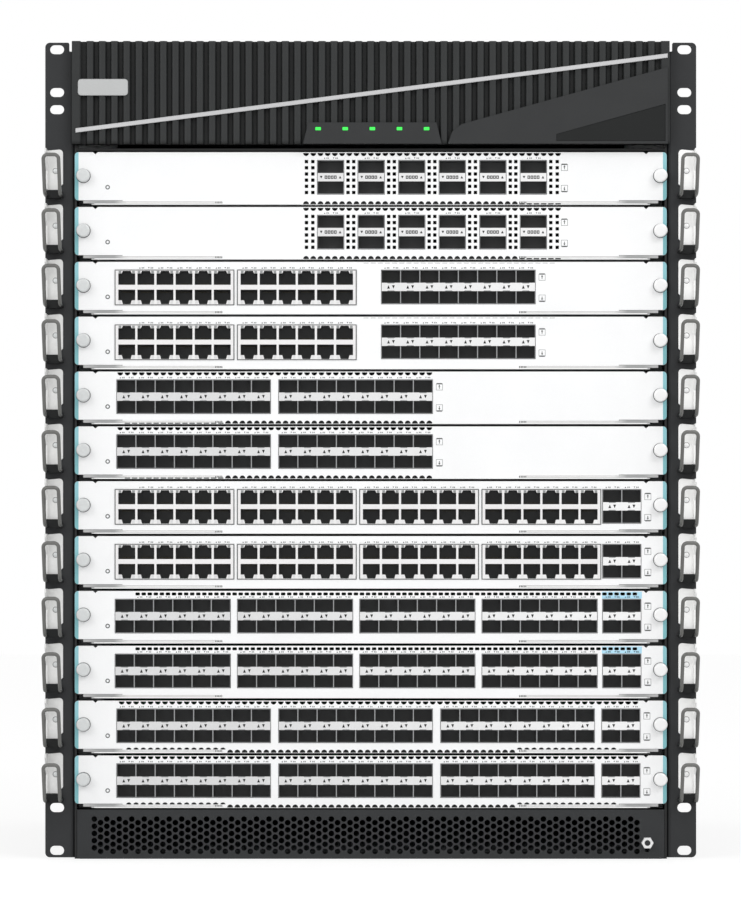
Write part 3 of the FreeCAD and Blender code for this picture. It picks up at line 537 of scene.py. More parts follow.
def make_bezel():
    """Cover with rounded upright ribs: one section carried upwards."""
    crest = BEZEL_LOW[1]
    valley = crest + RIB_DEPTH
    half = BEZEL_HIGH[0]
    flank = [(RIB_CREST / 4, crest + 0.05), (RIB_CREST / 2 - 0.35, crest + 0.35),
             (RIB_CREST / 2 + 0.2, crest + 1.3), (RIB_ROOT / 2 - 0.35, valley - 0.5),
             (RIB_ROOT / 2, valley)]
    rib = flip(flank, -1)[::-1] + flank
    end = [(half - END_LAND, valley), (half - END_LAND, crest + 0.8),
           (half - END_LAND + 0.8, crest), (half - 0.6, crest), (half, crest + 0.6),
           (half, BEZEL_HIGH[1])]
    section = flip(end, -1)[::-1]
    for x in steps_between(-RIB_SPAN / 2, RIB_SPAN / 2, RIBS):
        section += [(x + dx, y) for dx, y in rib]
    shape = Shape()
    shape.prism_up(section + end, (BEZEL_LOW[2], BEZEL_HIGH[2]), BEZEL)
    shape.make("ribbed_bezel", "bezel_plastic", "top_bezel", smooth=28.0)


STRIPE_DROP = 1.4
STRIPE_START = 1.3
STRIPE_WIDTH = 3.2


def make_stripe():
    """Bright strip that climbs across the ribs."""
    low, high = node_box("bezel_stripe")
    left = low[0] + STRIPE_START
    rise = (high[2] - low[2] - STRIPE_WIDTH) / (high[0] - low[0])
    start = low[2] - STRIPE_DROP + rise * STRIPE_START
    end = high[2] - STRIPE_DROP
    outline = [(left, start), (high[0], end - STRIPE_WIDTH), (high[0], end),
               (left, start + STRIPE_WIDTH)]
    shape = Shape()
    shape.plate(outline, [], (low[1], high[1]), STRIPE, edge=0.3)
    shape.make("bright_strip", "pale_strip", "bezel_stripe")


# Each a middle and a half size.
BADGE_X = (-197.9, 18.5)
BADGE_Z = (570.7, 6.1)


def make_badge():
    """Bare plate on the left of the bezel."""
    shape = Shape()
    outline = rounded(*about(*BADGE_X), *about(*BADGE_Z), 2.4)
    shape.plate(outline, [], (BEZEL_LOW[1] - 1.0, BEZEL_LOW[1] + 0.02), BADGE, edge=0.35)
    shape.make("bare_badge", "pale_strip")


LAMP_MIDDLE = 1.2
LAMP_PITCH = 20.03
LAMP_RISE = 11.0
LAMP_HALF = (2.1, 1.2)


def make_lamps():
    """Five lit windows in the indicator panel."""
    low = node_box("indicator_panel")[0]
    shape = Shape()
    for i in range(5):
        window = rounded(*about(LAMP_MIDDLE + (i - 2) * LAMP_PITCH, LAMP_HALF[0]),
                         *about(low[2] + LAMP_RISE, LAMP_HALF[1]), 0.5, 3)
        shape.plate(window, [], (low[1] - 0.15, low[1] + 0.75), LAMP, edge=0.2)
    shape.make("indicator_lamps", "trim_black")


WEDGE_START = 137.4
WEDGE_INSET = 1.9
WEDGE_HEIGHTS = (2.1, 7.1, 29.0)


def make_sunk_wedge():
    """Darker facing that lies in the sunk part of the wedge cover."""
    low, high = node_box("wedge_cover")
    right = high[0] - WEDGE_INSET
    foot, shoulder, peak = [low[2] + height for height in WEDGE_HEIGHTS]
    outline = [(WEDGE_START, foot), (right, foot), (right, peak), (WEDGE_START, shoulder)]
    shape = Shape()
    shape.plate(outline, [], (low[1] + 0.25, low[1] + 0.62), TRIM_DARK, edge=0.1)
    shape.make("sunk_wedge_facing", "trim_black", smooth=0)


# --- Lower air intake ---
PAN_SHEET = 1.5
INTAKE_FIRST = -204.8
INTAKE_LAST = 197.3
INTAKE_COLUMNS = 88
INTAKE_LOW = 5.5
INTAKE_PITCH = 5.33
INTAKE_HOLE = 2.1
STUD = (204.8, 12.0)
STUD_RADIUS = 2.05
NUT_REACH = 4.5
NUT_BORE = 2.1
# The hole under the nut: how far below it, and its radius.
NUT_HOLE = (5.4, 1.8)


def make_intake():
    """Perforated pan: staggered round holes, flanges and the earthing nut."""
    low, high = node_box("intake_panel")
    front = FACE_Y - PAN_SHEET
    shape = Shape()
    holes = []
    for i, x in enumerate(steps_between(INTAKE_FIRST, INTAKE_LAST, INTAKE_COLUMNS)):
        start = INTAKE_LOW + (INTAKE_PITCH / 2 if i % 2 == 0 else 0.0)
        for row in range(5):
            holes.append(circle((x, start + row * INTAKE_PITCH), INTAKE_HOLE, 12))
    holes.append(circle((STUD[0], STUD[1] - NUT_HOLE[0]), NUT_HOLE[1], 12))
    outline = [(low[0] + 2.2, low[2]), (high[0] - 2.2, low[2]), (high[0], low[2] + 1.0),
               (high[0], high[2]), (low[0], high[2]), (low[0], low[2] + 1.0)]
    shape.plate(outline, holes, (front, front + PAN_SHEET), PAN_COAT)
    for z in ((low[2] + 1.9, low[2] + 3.4), (high[2] - 3.2, high[2] - 1.7)):
        shape.box((low[0] + 3.0, high[0] - 3.0), (front + PAN_SHEET, high[1]), z, PAN_COAT)
    shape.plate(circle(STUD, NUT_REACH, 6), [circle(STUD, NUT_BORE, 24)], (low[1] + 0.6, front),
                CHROME, edge=0.5)
    shape.lathe(STUD, [(STUD_RADIUS, front), (STUD_RADIUS, low[1] + 1.6), (1.5, low[1] + 1.2)],
                PAN_COAT)
    shape.make("intake_grille", "dark_coat", "intake_panel")


# --- Cable brackets and hooks ---
HOOK_X = 234.3
BRACKET_HALF = 6.25
BRACKET_TOP = 42.0
BRACKET_HEIGHT = 30.2
BRACKET_SHEET = 1.2
BRACKET_TURN = 2.6
GUSSET_REACH = 15.5
RIVET_DROP = 15.9
HOOK_HALF = 5.6
HOOK_BAR = 1.35
HOOK_REACH = 37.4
HOOK_FOOT = 22.0
HOOK_TURN = 3.2
# Top and bottom of a hook, below the top of its bracket.
HOOK_DROPS = (6.2, 36.0)


def bracket(shape, cx, top, outer):
    """Bent sheet with a rounded shoulder, a folded side and one rivet."""
    front = FACE_Y - BRACKET_SHEET
    back = FACE_Y - 0.3
    fold_front = FACE_Y - 3.8
    foot = top - BRACKET_HEIGHT
    a = cx + outer * BRACKET_HALF
    b = cx - outer * BRACKET_HALF
    turn = BRACKET_TURN
    outline = [(a, top - 0.9), (a, foot), (b + outer * turn, foot),
               (b + outer * turn, foot + 2.2), (b, foot + 4.6), (b, top - turn)]
    outline += [(b + outer * (turn + x), z) for x, z in arc(0.0, top - turn, turn, 180, 90, 3)[1:]]
    shape.plate(outline, [], (front, FACE_Y), BRACKET, edge=0.15)
    reach = FACE_Y - GUSSET_REACH
    gusset = [(back, top - 0.4), (reach, top - 0.4), (reach, top - 3.2),
              (fold_front, top - 16.0), (fold_front, foot + 0.4), (back, foot + 0.4)]
    shape.loft([[(x, y, z) for y, z in gusset] for x in sorted((a, a - outer * BRACKET_SHEET))],
               BRACKET)
    rivet = (cx - outer * 0.55 + 0.25, top - RIVET_DROP)
    # Painted shadow: a dark ring just round the rivet head, behind it.
    shape.lathe(rivet, [(2.2, front + 0.1), (2.2, front - 0.06)], INK_AND_SHADE, 20)
    shape.lathe(rivet, [(1.9, front + 0.1), (1.9, front - 0.3), (1.4, front - 0.9),
                        (0.6, front - 1.15)], KNOB, 20)
    shape.box((a - outer * 1.0, b + outer * 1.4), (FACE_Y - 6.0, FACE_Y), (foot - 6.4, foot - 0.2),
              BLACK_AND_SHADE)


def hook_path(cx, top):
    """Centre line of one hook: root, foot, leaning leg, arch and back."""
    arch_top = top - HOOK_DROPS[0] - HOOK_BAR
    low = top - HOOK_DROPS[1] + HOOK_BAR
    foot = FACE_Y - HOOK_FOOT
    lean = (FACE_Y - HOOK_REACH + HOOK_BAR - foot) / (arch_top - low)
    turn = HOOK_TURN
    knee = arch_top - turn
    bend = [(FACE_Y - 17.5, low - 0.1), (foot - 0.2, low), (foot + lean * 5.0, low + 5.0)]
    side = [(FACE_Y - 0.4, low - 0.5), (FACE_Y - 16.0, low - 0.1)]
    for t in steps_between(0.0, 1.0, 7):
        side.append([(1 - t) ** 2 * a + 2 * t * (1 - t) * b + t * t * c for a, b, c in zip(*bend)])
    side += [(foot + lean * 9.0, low + 9.0), (foot + lean * (knee - low), knee)]
    left = [(cx - HOOK_HALF, y, z) for y, z in side]
    right = [(cx + HOOK_HALF, y, z) for y, z in reversed(side)]
    over = (arc(cx - HOOK_HALF + turn, knee, turn, 180, 90, 8)[1:]
            + arc(cx + HOOK_HALF - turn, knee, turn, 90, 0, 8)[:-1])
    return left + [(x, foot + lean * (z - low), z) for x, z in over] + right


def make_cable_guides():
    """Brackets and hooks beside every card, on both ears."""
    sheets = Shape()
    bars = Shape()
    for sign in (-1, 1):
        for index in range(1, CARDS + 1):
            top = cell(index) + BRACKET_TOP
            bracket(sheets, sign * HOOK_X, top, sign)
            bars.sweep(hook_path(sign * HOOK_X, top), HOOK_BAR, HOOK)
    sheets.make("cable_bracket_sheets", "zinc_bracket", "cable_brackets")
    bars.make("cable_hook_bars", "hook_grey", "cable_hooks", smooth=50.0)


# --- Line cards ---
BLOCK_LOW = 8.8
BLOCK_HIGH = 33.9
BLOCK_RIM = 0.35
WINDOW_GAP = 0.25
QUAD_PITCH = 30.05
# Width and pitch of the ports, and margin of the block.
KINDS = {"copper": (12.5, 14.15, 2.4), "optical": (13.48, 14.26, BLOCK_RIM),
         "quad": (18.9, QUAD_PITCH, BLOCK_RIM)}
COPPER_LOW = 8.1
STRIP_HALF = 3.1
PORT_Y = FACE_FRONT - 0.4
PORT_DEPTH = 12.0
CAGE_DEPTH = 44.0
CAGE_SHEET = 0.3
CONTACTS = 8
CONTACT_PITCH = 1.02
CONTACT_Y = (PORT_Y + 8.5, PORT_Y + 12.0)


def block_row(kind, columns, first, step, count):
    """Equal port blocks beside each other: (kind, columns, left edge)."""
    return [(kind, columns, first + i * step) for i in range(count)]


# Left edge of a card's first block and the step to the next, for blocks of six and of eight.
START = -189.4
SIX = 90.6
START_EIGHT = -188.2
EIGHT = 120.0
UPLINKS = [("optical", 2, 171.8)]
DESIGNS = (block_row("quad", 1, -39.5, QUAD_PITCH, 6),
           block_row("copper", 6, START, SIX, 2) + [("optical", 8, 7.9)],
           block_row("optical", 8, START_EIGHT, EIGHT, 2),
           block_row("copper", 6, START, SIX, 4) + UPLINKS,
           block_row("optical", 6, START, SIX, 4) + UPLINKS,
           block_row("optical", 8, START_EIGHT, EIGHT, 3) + [("optical", 2, 171.1)])


def pair_of(index):
    """Number of a card's design: the cards come in pairs, and the first is 0."""
    return (index - 1) // 2


def blocks(index):
    """Port blocks of a card."""
    return DESIGNS[pair_of(index)]


def block_low(kind):
    """Lower edge of a port block above the floor of its cell."""
    return COPPER_LOW if kind == "copper" else BLOCK_LOW


def block_width(kind, columns):
    wide, pitch, margin = KINDS[kind]
    return 2 * margin + (columns - 1) * pitch + wide


def columns_of(kind, columns, left):
    """Middles of a block's columns."""
    wide, pitch, margin = KINDS[kind]
    return [left + margin + wide / 2 + i * pitch for i in range(columns)]


VENT_WIDTH = 4.3
VENT_HEIGHT = 2.3
VENT_PITCH = 5.325
VENT_TOP = FACE_TOP - 0.6
VENT_BOTTOM = 1.4
# First and last place of a row, with its pitch where the row is the only one of its kind.
VENT_ROWS = {0: (-47.9, 138.8), 2: (-185.6, 43.4), 5: (-184.6, 196.1)}
SLITS = (-172.7, 195.7, 4.49)
DASHES = (-3.5, 134.5, VENT_PITCH)
SLIT_HALF = 1.65
SQUARE_COLUMNS = (-47.6, -42.9, -16.8, -12.6, 13.3, 17.5, 43.3, 47.5, 73.3, 77.6, 103.4, 107.5,
                  133.4, 138.2)
SQUARE_LOW = 10.1
SQUARE_PITCH = 4.58
SQUARE_HALF = 1.25


def row_of(first, last, pitch):
    """Evenly spaced places from the first to the last, at about a pitch."""
    return steps_between(first, last, round((last - first) / pitch) + 1)


def slit(x, around):
    """Upright vent slit under the top edge, widened all round by a margin."""
    return rounded(*about(x, SLIT_HALF + around), FACE_TOP - 3.3 - around,
                   FACE_TOP - 1.15 + around, 0.6, 3)


def vents(index):
    """Vent holes of a card's faceplate."""
    pair = pair_of(index)
    out = []
    if pair in VENT_ROWS:
        row = row_of(*VENT_ROWS[pair], VENT_PITCH)
        out += [half_round(x, VENT_TOP, VENT_WIDTH, VENT_HEIGHT, False) for x in row]
        for x in row:
            if abs(x) < LIP_END - 2.6:
                out.append(half_round(x, VENT_BOTTOM, VENT_WIDTH, VENT_HEIGHT, True))
            elif pair == 5 and abs(x) < HEAD_VENTS:
                out.append(half_round(x, ARM_ROOF + 0.35, 3.9, 1.5, True, 5))
    if pair == 4:
        out += [slit(x, 0.0) for x in row_of(*SLITS)]
    if pair == 0:
        for x in SQUARE_COLUMNS:
            for row in range(6):
                z = SQUARE_LOW + row * SQUARE_PITCH
                out.append(rectangle(*about(x, SQUARE_HALF), *about(z, SQUARE_HALF)))
    return out


CORNER = 2.6
BAND_WIDTH = 2.8
UPLINK_BAND_SPAN = (171.2, 200.9)
NOTCH_HALF = 1.7
NOTCH_DEPTH = 1.6


def face_outline():
    """Half of the faceplate's outline, mirrored to the other side."""
    right = [(LIP_END, LIP_LOW), (LIP_END, ARM_ROOF), (HEAD_END, ARM_ROOF), (HEAD_END, HEAD_ROOF)]
    right += arc(FACE_HALF - CORNER, HEAD_ROOF + CORNER, CORNER, -90, 0, 5)
    right += arc(FACE_HALF - CORNER, FACE_TOP - CORNER, CORNER, 0, 90, 5)
    right += [(PIVOT_X + NOTCH_HALF, FACE_TOP), (PIVOT_X, FACE_TOP - NOTCH_DEPTH),
              (PIVOT_X - NOTCH_HALF, FACE_TOP)]
    return right + [(-x, z) for x, z in reversed(right)]


STATUS = (-194.9, 14.0)
STATUS_RING = (1.7, 0.95)
KNOB_X = 213.7
KNOB_SHIFT = 0.85
KNOB_Z = 22.35
KNOB_RADIUS = 5.05
KNOB_LENGTH = 6.0
KNOB_SIDES = 60
FLUTE = 0.16
TRAY_HALF = 207.0
PRINT = 0.08
# Middles of the two boxed arrows above the floor of the cell, and which way each points.
ARROWS = ((28.6, 1), (13.1, -1))


def make_faceplate(index):
    """Sheet with vents and port windows, printed marks, painted shade at the lower vents and edge
    bands.
    """
    shape = Shape()
    base = cell(index)

    def lift(loop):
        return [(x, z + base) for x, z in loop]

    holes = vents(index)
    for kind, columns, left in blocks(index):
        right = left + block_width(kind, columns)
        holes.append(rectangle(left - WINDOW_GAP, right + WINDOW_GAP,
                               block_low(kind) - WINDOW_GAP, BLOCK_HIGH + WINDOW_GAP))
    back = FACE_FRONT + FACE_THICK
    shape.plate(lift(face_outline()), [lift(h) for h in holes], (FACE_FRONT, back), CARD, edge=0.14)
    proud = FACE_FRONT - 0.05
    turn = CORNER - 0.06
    centre = FACE_HALF - CORNER
    band = [(FACE_HALF - BAND_WIDTH, HEAD_ROOF + 0.06)]
    band += arc(centre, HEAD_ROOF + CORNER, turn, -90, 0, 6)
    band += arc(centre, FACE_TOP - CORNER, turn, 0, 90, 6)
    band += [(FACE_HALF - BAND_WIDTH, FACE_TOP - 0.06)]
    for sign in (-1, 1):
        shape.prism(flip(lift(band), sign), (proud, FACE_FRONT + 0.05), CARD_EDGE)
    pair = pair_of(index)
    mark_y = (FACE_FRONT - 0.02, FACE_FRONT + 0.4)
    if pair == 1:
        for x in row_of(*DASHES):
            shape.box(about(x, 1.8), mark_y, (base + FACE_TOP - 1.1, base + FACE_TOP - 0.75),
                      INK_PALE)
    # Painted shade: a black filler in the back of the lower vents stands in for the dark inside of
    # the card.
    if pair in VENT_ROWS:
        low = base + VENT_BOTTOM
        shape.box((-LIP_END, LIP_END), (back - 0.4, back), (low - 0.1, low + 2.5), BLACK_AND_SHADE)
    # Painted shade: dark dashes on the tray lip where the vent openings show below the lever arm.
    if pair in (0, 2):
        for x in row_of(*VENT_ROWS[pair], VENT_PITCH):
            if LIP_END < abs(x) < HEAD_VENTS:
                shape.box(about(x, 1.95), mark_y, (base + 1.35, base + 2.15),
                          BLACK_AND_SHADE if pair == 0 else INK_AND_SHADE)
    if pair == 4:
        left, right = UPLINK_BAND_SPAN
        gaps = [slit(x, 0.08) for x in row_of(*SLITS) if left + SLIT_HALF < x < right]
        shape.plate(lift(rectangle(left, right, BLOCK_HIGH + 0.45, FACE_TOP - 0.5)),
                    [lift(gap) for gap in gaps], (proud, proud + 0.1), UPLINK_BAND, edge=0.02)
    marks(shape, index, base, proud)
    shape.make_on_card("faceplate", index, "card_white", "line_card")


def ring_mark(shape, centre, outer, inner, y):
    """Flat printed ring."""
    rings = [[(a, depth, b) for a, b in circle(centre, radius, 20)]
             for radius, depth in ((outer, y + PRINT), (outer, y), (inner, y), (inner, y + PRINT))]
    shape.loft(rings, INK_AND_SHADE, caps=False)


def triangle_mark(shape, x, z, size, turn, y, material, tall=None):
    """Printed triangle that points up for a turn of 1 and down for -1."""
    reach = turn * (tall or size) / 2
    shape.prism([(x - size / 2, z - reach), (x + size / 2, z - reach), (x, z + reach)],
                (y, y + PRINT), material)


def marks(shape, index, base, y):
    """Status ring, port ticks and the two boxed arrows."""
    ring_mark(shape, (STATUS[0], base + STATUS[1]), *STATUS_RING, y)
    last = 0.0
    pair = pair_of(index)
    z = base + BLOCK_HIGH + 1.6
    for kind, columns, left in blocks(index):
        for i, x in enumerate(columns_of(kind, columns, left)):
            last = max(last, x + KINDS[kind][0] / 2)
            if left == START and i == 0 and pair != 0:
                continue
            for turn in (1, -1):
                centre = x - turn * 3.3
                triangle_mark(shape, centre - 1.1, z, 1.1, turn, y, INK_AND_SHADE)
                for dx in (0.2, 1.3):
                    shape.prism(rectangle(centre + dx, centre + dx + 0.8, *about(z, 0.5)),
                                (y, y + PRINT), INK_PALE)
    x = last + (13.5 if pair == 0 else 5.4)
    for height, turn in ARROWS:
        z = base + height
        shape.plate(rectangle(*about(x, 2.5), *about(z, 2.5)),
                    [rectangle(*about(x, 2.15), *about(z, 2.15))], (y, y + 0.1), INK_PALE, edge=0.03)
        shape.prism(rectangle(*about(x, 2.0), *about(z + turn * 2.35, 0.45)),
                    (y - 0.03, y + PRINT), INK_AND_SHADE)
        shape.prism(rectangle(*about(x, 0.25), z - 1.3, z + 1.2), (y, y + PRINT), INK_AND_SHADE)
        triangle_mark(shape, x, z + turn, 1.5, turn, y - 0.02, INK_AND_SHADE)


def make_tray(index):
    """Tray with folded side walls behind the faceplate."""
    shape = Shape()
    base = cell(index)
    top = base + 2.0
    floor = (base + LIP_LOW, top)
    face_back = FACE_FRONT + FACE_THICK
    back = CARD_HIGH[1]
    shape.box((-TRAY_HALF, TRAY_HALF), (face_back, back), floor, CARD)
    for sign in (-1, 1):
        shape.box((sign * LIP_END, sign * (TRAY_HALF - 2.0)), (FACE_FRONT + 0.15, face_back),
                  floor, CARD)
        shape.box((sign * TRAY_HALF, sign * (TRAY_HALF - 1.2)), (FACE_Y + 22.0, back),
                  (top, base + 7.2), ZINC)
        shape.lathe_up((sign * PIVOT_X, PIVOT_Y), [(1.9, top), (1.9, base + 4.15), (3.1, base + 4.15),
                                                   (2.9, base + 4.6), (1.6, base + 4.9)], ZINC, 20)
    shape.make_on_card("tray", index, "card_white", bevel=0.12)


def make_thumbscrews(index):
    """Two round captive screws with a fluted rim."""
    shape = Shape()
    face = FACE_FRONT
    front = face - KNOB_LENGTH
    profile = [(4.0, face + 0.2, 0.0), (4.0, face - 0.9, 0.0), (4.8, face - 1.1, FLUTE),
               (KNOB_RADIUS, face - 1.5, FLUTE), (KNOB_RADIUS, front + 0.9, FLUTE),
               (4.8, front + 0.35, FLUTE), (4.4, front + 0.08, 0.0), (3.8, front, 0.0),
               (2.0, front + 0.02, 0.0)]
    for sign in (-1, 1):
        centre = (sign * KNOB_X + KNOB_SHIFT, cell(index) + KNOB_Z)
        rings = []
        for radius, y, flute in profile:
            rims = [circle(centre, radius, KNOB_SIDES), circle(centre, radius - flute, KNOB_SIDES)]
            rings.append([(rims[k % 2][k][0], y, rims[k % 2][k][1]) for k in range(KNOB_SIDES)])
        shape.loft(rings, KNOB)
        shadow = KNOB_RADIUS + 0.3
        shape.lathe(centre, [(shadow, face + 0.05), (shadow, face - 0.1)], INK_AND_SHADE, 40)
        shape.lathe(centre, [(1.9, face + 0.3), (1.9, face + 12.0), (1.1, face + 14.0)], ZINC, 16)
    shape.make_on_card("thumbscrews", index, "card_white", smooth=40.0)


def jack_hole(x, z0, z1, upward):
    """Opening of a copper jack with its latch notch at the top or bottom."""
    w = KINDS["copper"][0] / 2
    turn = 1 if upward else -1
    far, near = (z0, z1) if upward else (z1, z0)
    body = near - turn * (1.9 if upward else 2.9)
    loop = [(x - w, far), (x + w, far), (x + w, body), (x + 3.7, body), (x + 2.9, near),
            (x - 2.9, near), (x - 3.7, body), (x - w, body)]
    return loop if upward else list(reversed(loop))


def socket(shape, outline, front):
    """Open box behind an outline: side skin and floor, seen from the front."""
    near = [(x, front, z) for x, z in outline]
    far = [(x, front + PORT_DEPTH, z) for x, z in outline]
    shape.loft([near, far], PORT, caps=False)
    shape.add(far, [tuple(range(len(outline)))], PORT)


def copper_block(shape, left, columns, base):
    """Shielded jack block: pale front with latch-shaped openings."""
    right = left + block_width("copper", columns)
    low = base + COPPER_LOW
    high = base + BLOCK_HIGH
    middle = (low + high) / 2 + 0.15
    tabs = ((high - 2.4, high - 0.6, INK_PALE), (low + 0.6, low + 3.3, LIGHT_PIPE))
    holes = []
    for x in columns_of("copper", columns, left):
        holes.append(jack_hole(x, middle + 1.8, high - 0.6, True))
        holes.append(jack_hole(x, low + 0.5, middle - 1.8, False))
        for sign in (-1, 1):
            for z0, z1, tint in tabs:
                shape.box((x + sign * 4.0, x + sign * 6.0), (PORT_Y - 0.05, PORT_Y + 0.3),
                          (z0, z1), tint)
        for z in (middle + 3.0, middle - 3.0):
            for k in range(CONTACTS):
                shape.box(about(x + (k - 3.5) * CONTACT_PITCH, 0.22), CONTACT_Y, about(z, 0.25), GOLD)
    shape.plate(rectangle(left, right, low, high), holes, (PORT_Y, PORT_Y + 1.0), JACK)
    for hole in holes:
        socket(shape, hole, PORT_Y + 0.9)
    rim = rectangle(left - 0.2, right + 0.2, low - 0.2, high + 0.2)
    inner = rectangle(left + 0.35, right - 0.35, low + 0.3, high - 0.3)
    shape.plate(rim, [inner], (PORT_Y - 0.15, PORT_Y + 0.3), INK_AND_SHADE, edge=0.05)
    shape.box((left, right), (PORT_Y + 0.95, PORT_Y + 2.96 + PORT_DEPTH), (high - 0.35, high),
              CAGE)


def cage_block(shape, kind, left, columns, base):
    """Pressed-steel cage: thin dividers, dark sockets and the light strip."""
    wide = KINDS[kind][0] / 2
    right = left + block_width(kind, columns)
    low = base + BLOCK_LOW
    high = base + BLOCK_HIGH
    middle = (low + high) / 2
    centres = columns_of(kind, columns, left)
    holes = []
    for x in centres:
        holes.append(rectangle(*about(x, wide), middle + STRIP_HALF - 0.8, high - BLOCK_RIM))
        holes.append(rectangle(*about(x, wide), low + BLOCK_RIM + 0.1, middle - STRIP_HALF + 0.8))
    shape.plate(rectangle(left, right, low, high), holes, (PORT_Y + 0.1, PORT_Y + 0.7),
                CAGE, edge=0.06)
    for hole in holes:
        socket(shape, hole, PORT_Y + 0.65)
    shape.plate(rectangle(left + 0.2, right - 0.2, *about(middle, STRIP_HALF)), [],
                (PORT_Y - 0.25, PORT_Y + 0.2), LIGHT_PIPE, edge=0.08)
    y = PORT_Y - 0.3
    for x in centres:
        if kind == "optical":
            for turn in (-1, 1):
                edge = middle + turn * STRIP_HALF
                tip = edge - turn * 0.55
                tab = [(x - 2.9, edge), (x + 2.9, edge), (x + 2.3, tip), (x - 2.3, tip)]
                shape.prism(tab, (y + 0.02, y + 0.1), CAGE)
            for turn in (1, -1):
                triangle_mark(shape, x - turn * 1.8, middle, 2.1, turn, y, BLACK_AND_SHADE, 2.5)
        else:
            for turn in (-1, 1):
                triangle_mark(shape, x + turn * 7.0, middle, 1.9, turn, y, BLACK_AND_SHADE)
            for k in range(4):
                cx = x - 3.45 + k * 2.3
                shape.plate(rectangle(*about(cx, 0.95), *about(middle, 1.2)),
                            [rectangle(*about(cx, 0.35), *about(middle, 0.6))],
                            (y, y + 0.1), BLACK_AND_SHADE, edge=0.02)
    end = PORT_Y + CAGE_DEPTH
    roof = high - CAGE_SHEET
    shape.box((left, right), (PORT_Y + 0.72, end), (roof, high), CAGE)
    for x in (left, right - CAGE_SHEET):
        shape.box((x, x + CAGE_SHEET), (PORT_Y + PORT_DEPTH + 1.0, end), (low, roof), CAGE)
    shape.box((left, right), (end - CAGE_SHEET, end), (low, roof), CAGE)


def make_ports(index):
    """All port blocks of one card."""
    shape = Shape()
    base = cell(index)
    for kind, columns, left in blocks(index):
        if kind == "copper":
            copper_block(shape, left, columns, base)
        else:
            cage_block(shape, kind, left, columns, base)
    shape.make_on_card("port_blocks", index, "port_dark", "port_board")


BOARD_FLOOR = 7.2
BOARD_SHEET = 1.6
# First and last place of the heat sink behind the ears' front.
SINK = (167.5, 227.5)
FINS = 23
PLUGS = 10
PLUG_PITCH = 30.0


def make_board(index):
    """Circuit board with chips, a finned heat sink and the rear plugs."""
    shape = Shape()
    half = BOARD_HIGH[0]
    back = CARD_HIGH[1]
    low = cell(index) + BOARD_FLOOR
    top = low + BOARD_SHEET
    shape.box((-half, half), (FACE_Y + 6.0, back), (low, top), PCB)
    sink_y = (FACE_Y + SINK[0], FACE_Y + SINK[1])
    shape.box((-45.0, 45.0), sink_y, (top, top + 3.0), ALLOY)
    for x in steps_between(-44.0, 44.0, FINS):
        shape.box(about(x, 0.5), sink_y, (top + 3.0, top + 15.0), ALLOY)
    for sign in (-1, 1):
        for row in range(3):
            y = FACE_Y + 90.0 + row * 75.0
            shape.box(about(sign * 95.0, 11.0), (y, y + 22.0), (top, top + 1.6), CHIP)
            for k in range(4):
                shape.box(about(sign * 140.0 + (k - 1.5) * 9.0, 3.0), (y, y + 12.0),
                          (top, top + 1.2), CHIP)
    for k in range(PLUGS):
        x = (k - (PLUGS - 1) / 2) * PLUG_PITCH
        shape.box(about(x, 13.0), (back - 12.0, back + 2.0), (top, top + 18.0), BLACK_AND_SHADE)
        for row in range(4):
            shape.box(about(x, 11.0), (back + 1.8, back + 1.95), about(top + 3.0 + row * 4.0, 0.5),
                      GOLD)
    shape.make_on_card("circuit_board", index, "port_dark")


ARM_LOW = 2.12
ARM_THICK = 1.16


def make_lever(index, side, sign):
    """Pry lever: thick head with a claw, thin arm and a ribbed tip."""
    shape = Shape()
    front = FACE_FRONT + 0.1
    back = PIVOT_Y - 3.0
    low = cell(index) + ARM_LOW
    high = low + ARM_THICK
    end = PIVOT_X + 9.0
    claw = [(end, front), (end, back)] + arc(PIVOT_X, PIVOT_Y, 6.0, 0, 180, 12)
    arm = claw + [(HEAD_END, back), (TIP_X, back), (TIP_X, front)]
    shape.prism_up(flip(arm, sign), (low, high), LEVER)
    head = claw + [(HEAD_END + 0.3, back), (HEAD_END + 0.3, front)]
    shape.prism_up(flip(head, sign), (high - 0.05, cell(index) + HEAD_ROOF - 0.18), LEVER)
    for k in range(4):
        shape.box(about(sign * (TIP_X + 1.0 + k * 1.1), 0.3), about(front, 0.05),
                  (low + 0.05, high - 0.05), INK_AND_SHADE)
    name = "lever_%02d_%s" % (index, side)
    shape.make(name, "lever_grey", "ejector_" + name, name, bevel=0.15)


# --- Back ---
INLET_PITCH = 90.0
INLET_Z = 120.0


def make_rear_details():
    """Mains inlet blades and the screws of the rear panel."""
    low, high = node_box("rear_panel")
    back = high[1]
    shape = Shape()
    for i in range(4):
        x = (i - 1.5) * INLET_PITCH
        shape.plate(rounded(*about(x, 13.5), *about(INLET_Z, 10.0), 3.0), [],
                    (back - 15.9, back - 15.0), BLACK_AND_SHADE, edge=0.2)
        for dx, dz in ((-7.0, -2.0), (0.0, 3.0), (7.0, -2.0)):
            shape.box(about(x + dx, 1.0), (back - 15.5, back - 4.0), about(INLET_Z + dz, 3.0), CHROME)
    for x in (low[0] + 7.0, high[0] - 7.0):
        for z in (low[2] + 10.0, (low[2] + high[2]) / 2, high[2] - 10.0):
            shape.lathe((x, z), [(3.0, back - 0.3), (3.0, back - 0.06), (2.4, back - 0.02)], ZINC, 20)
    shape.make("rear_fittings", "zinc_sheet", bevel=0.15)


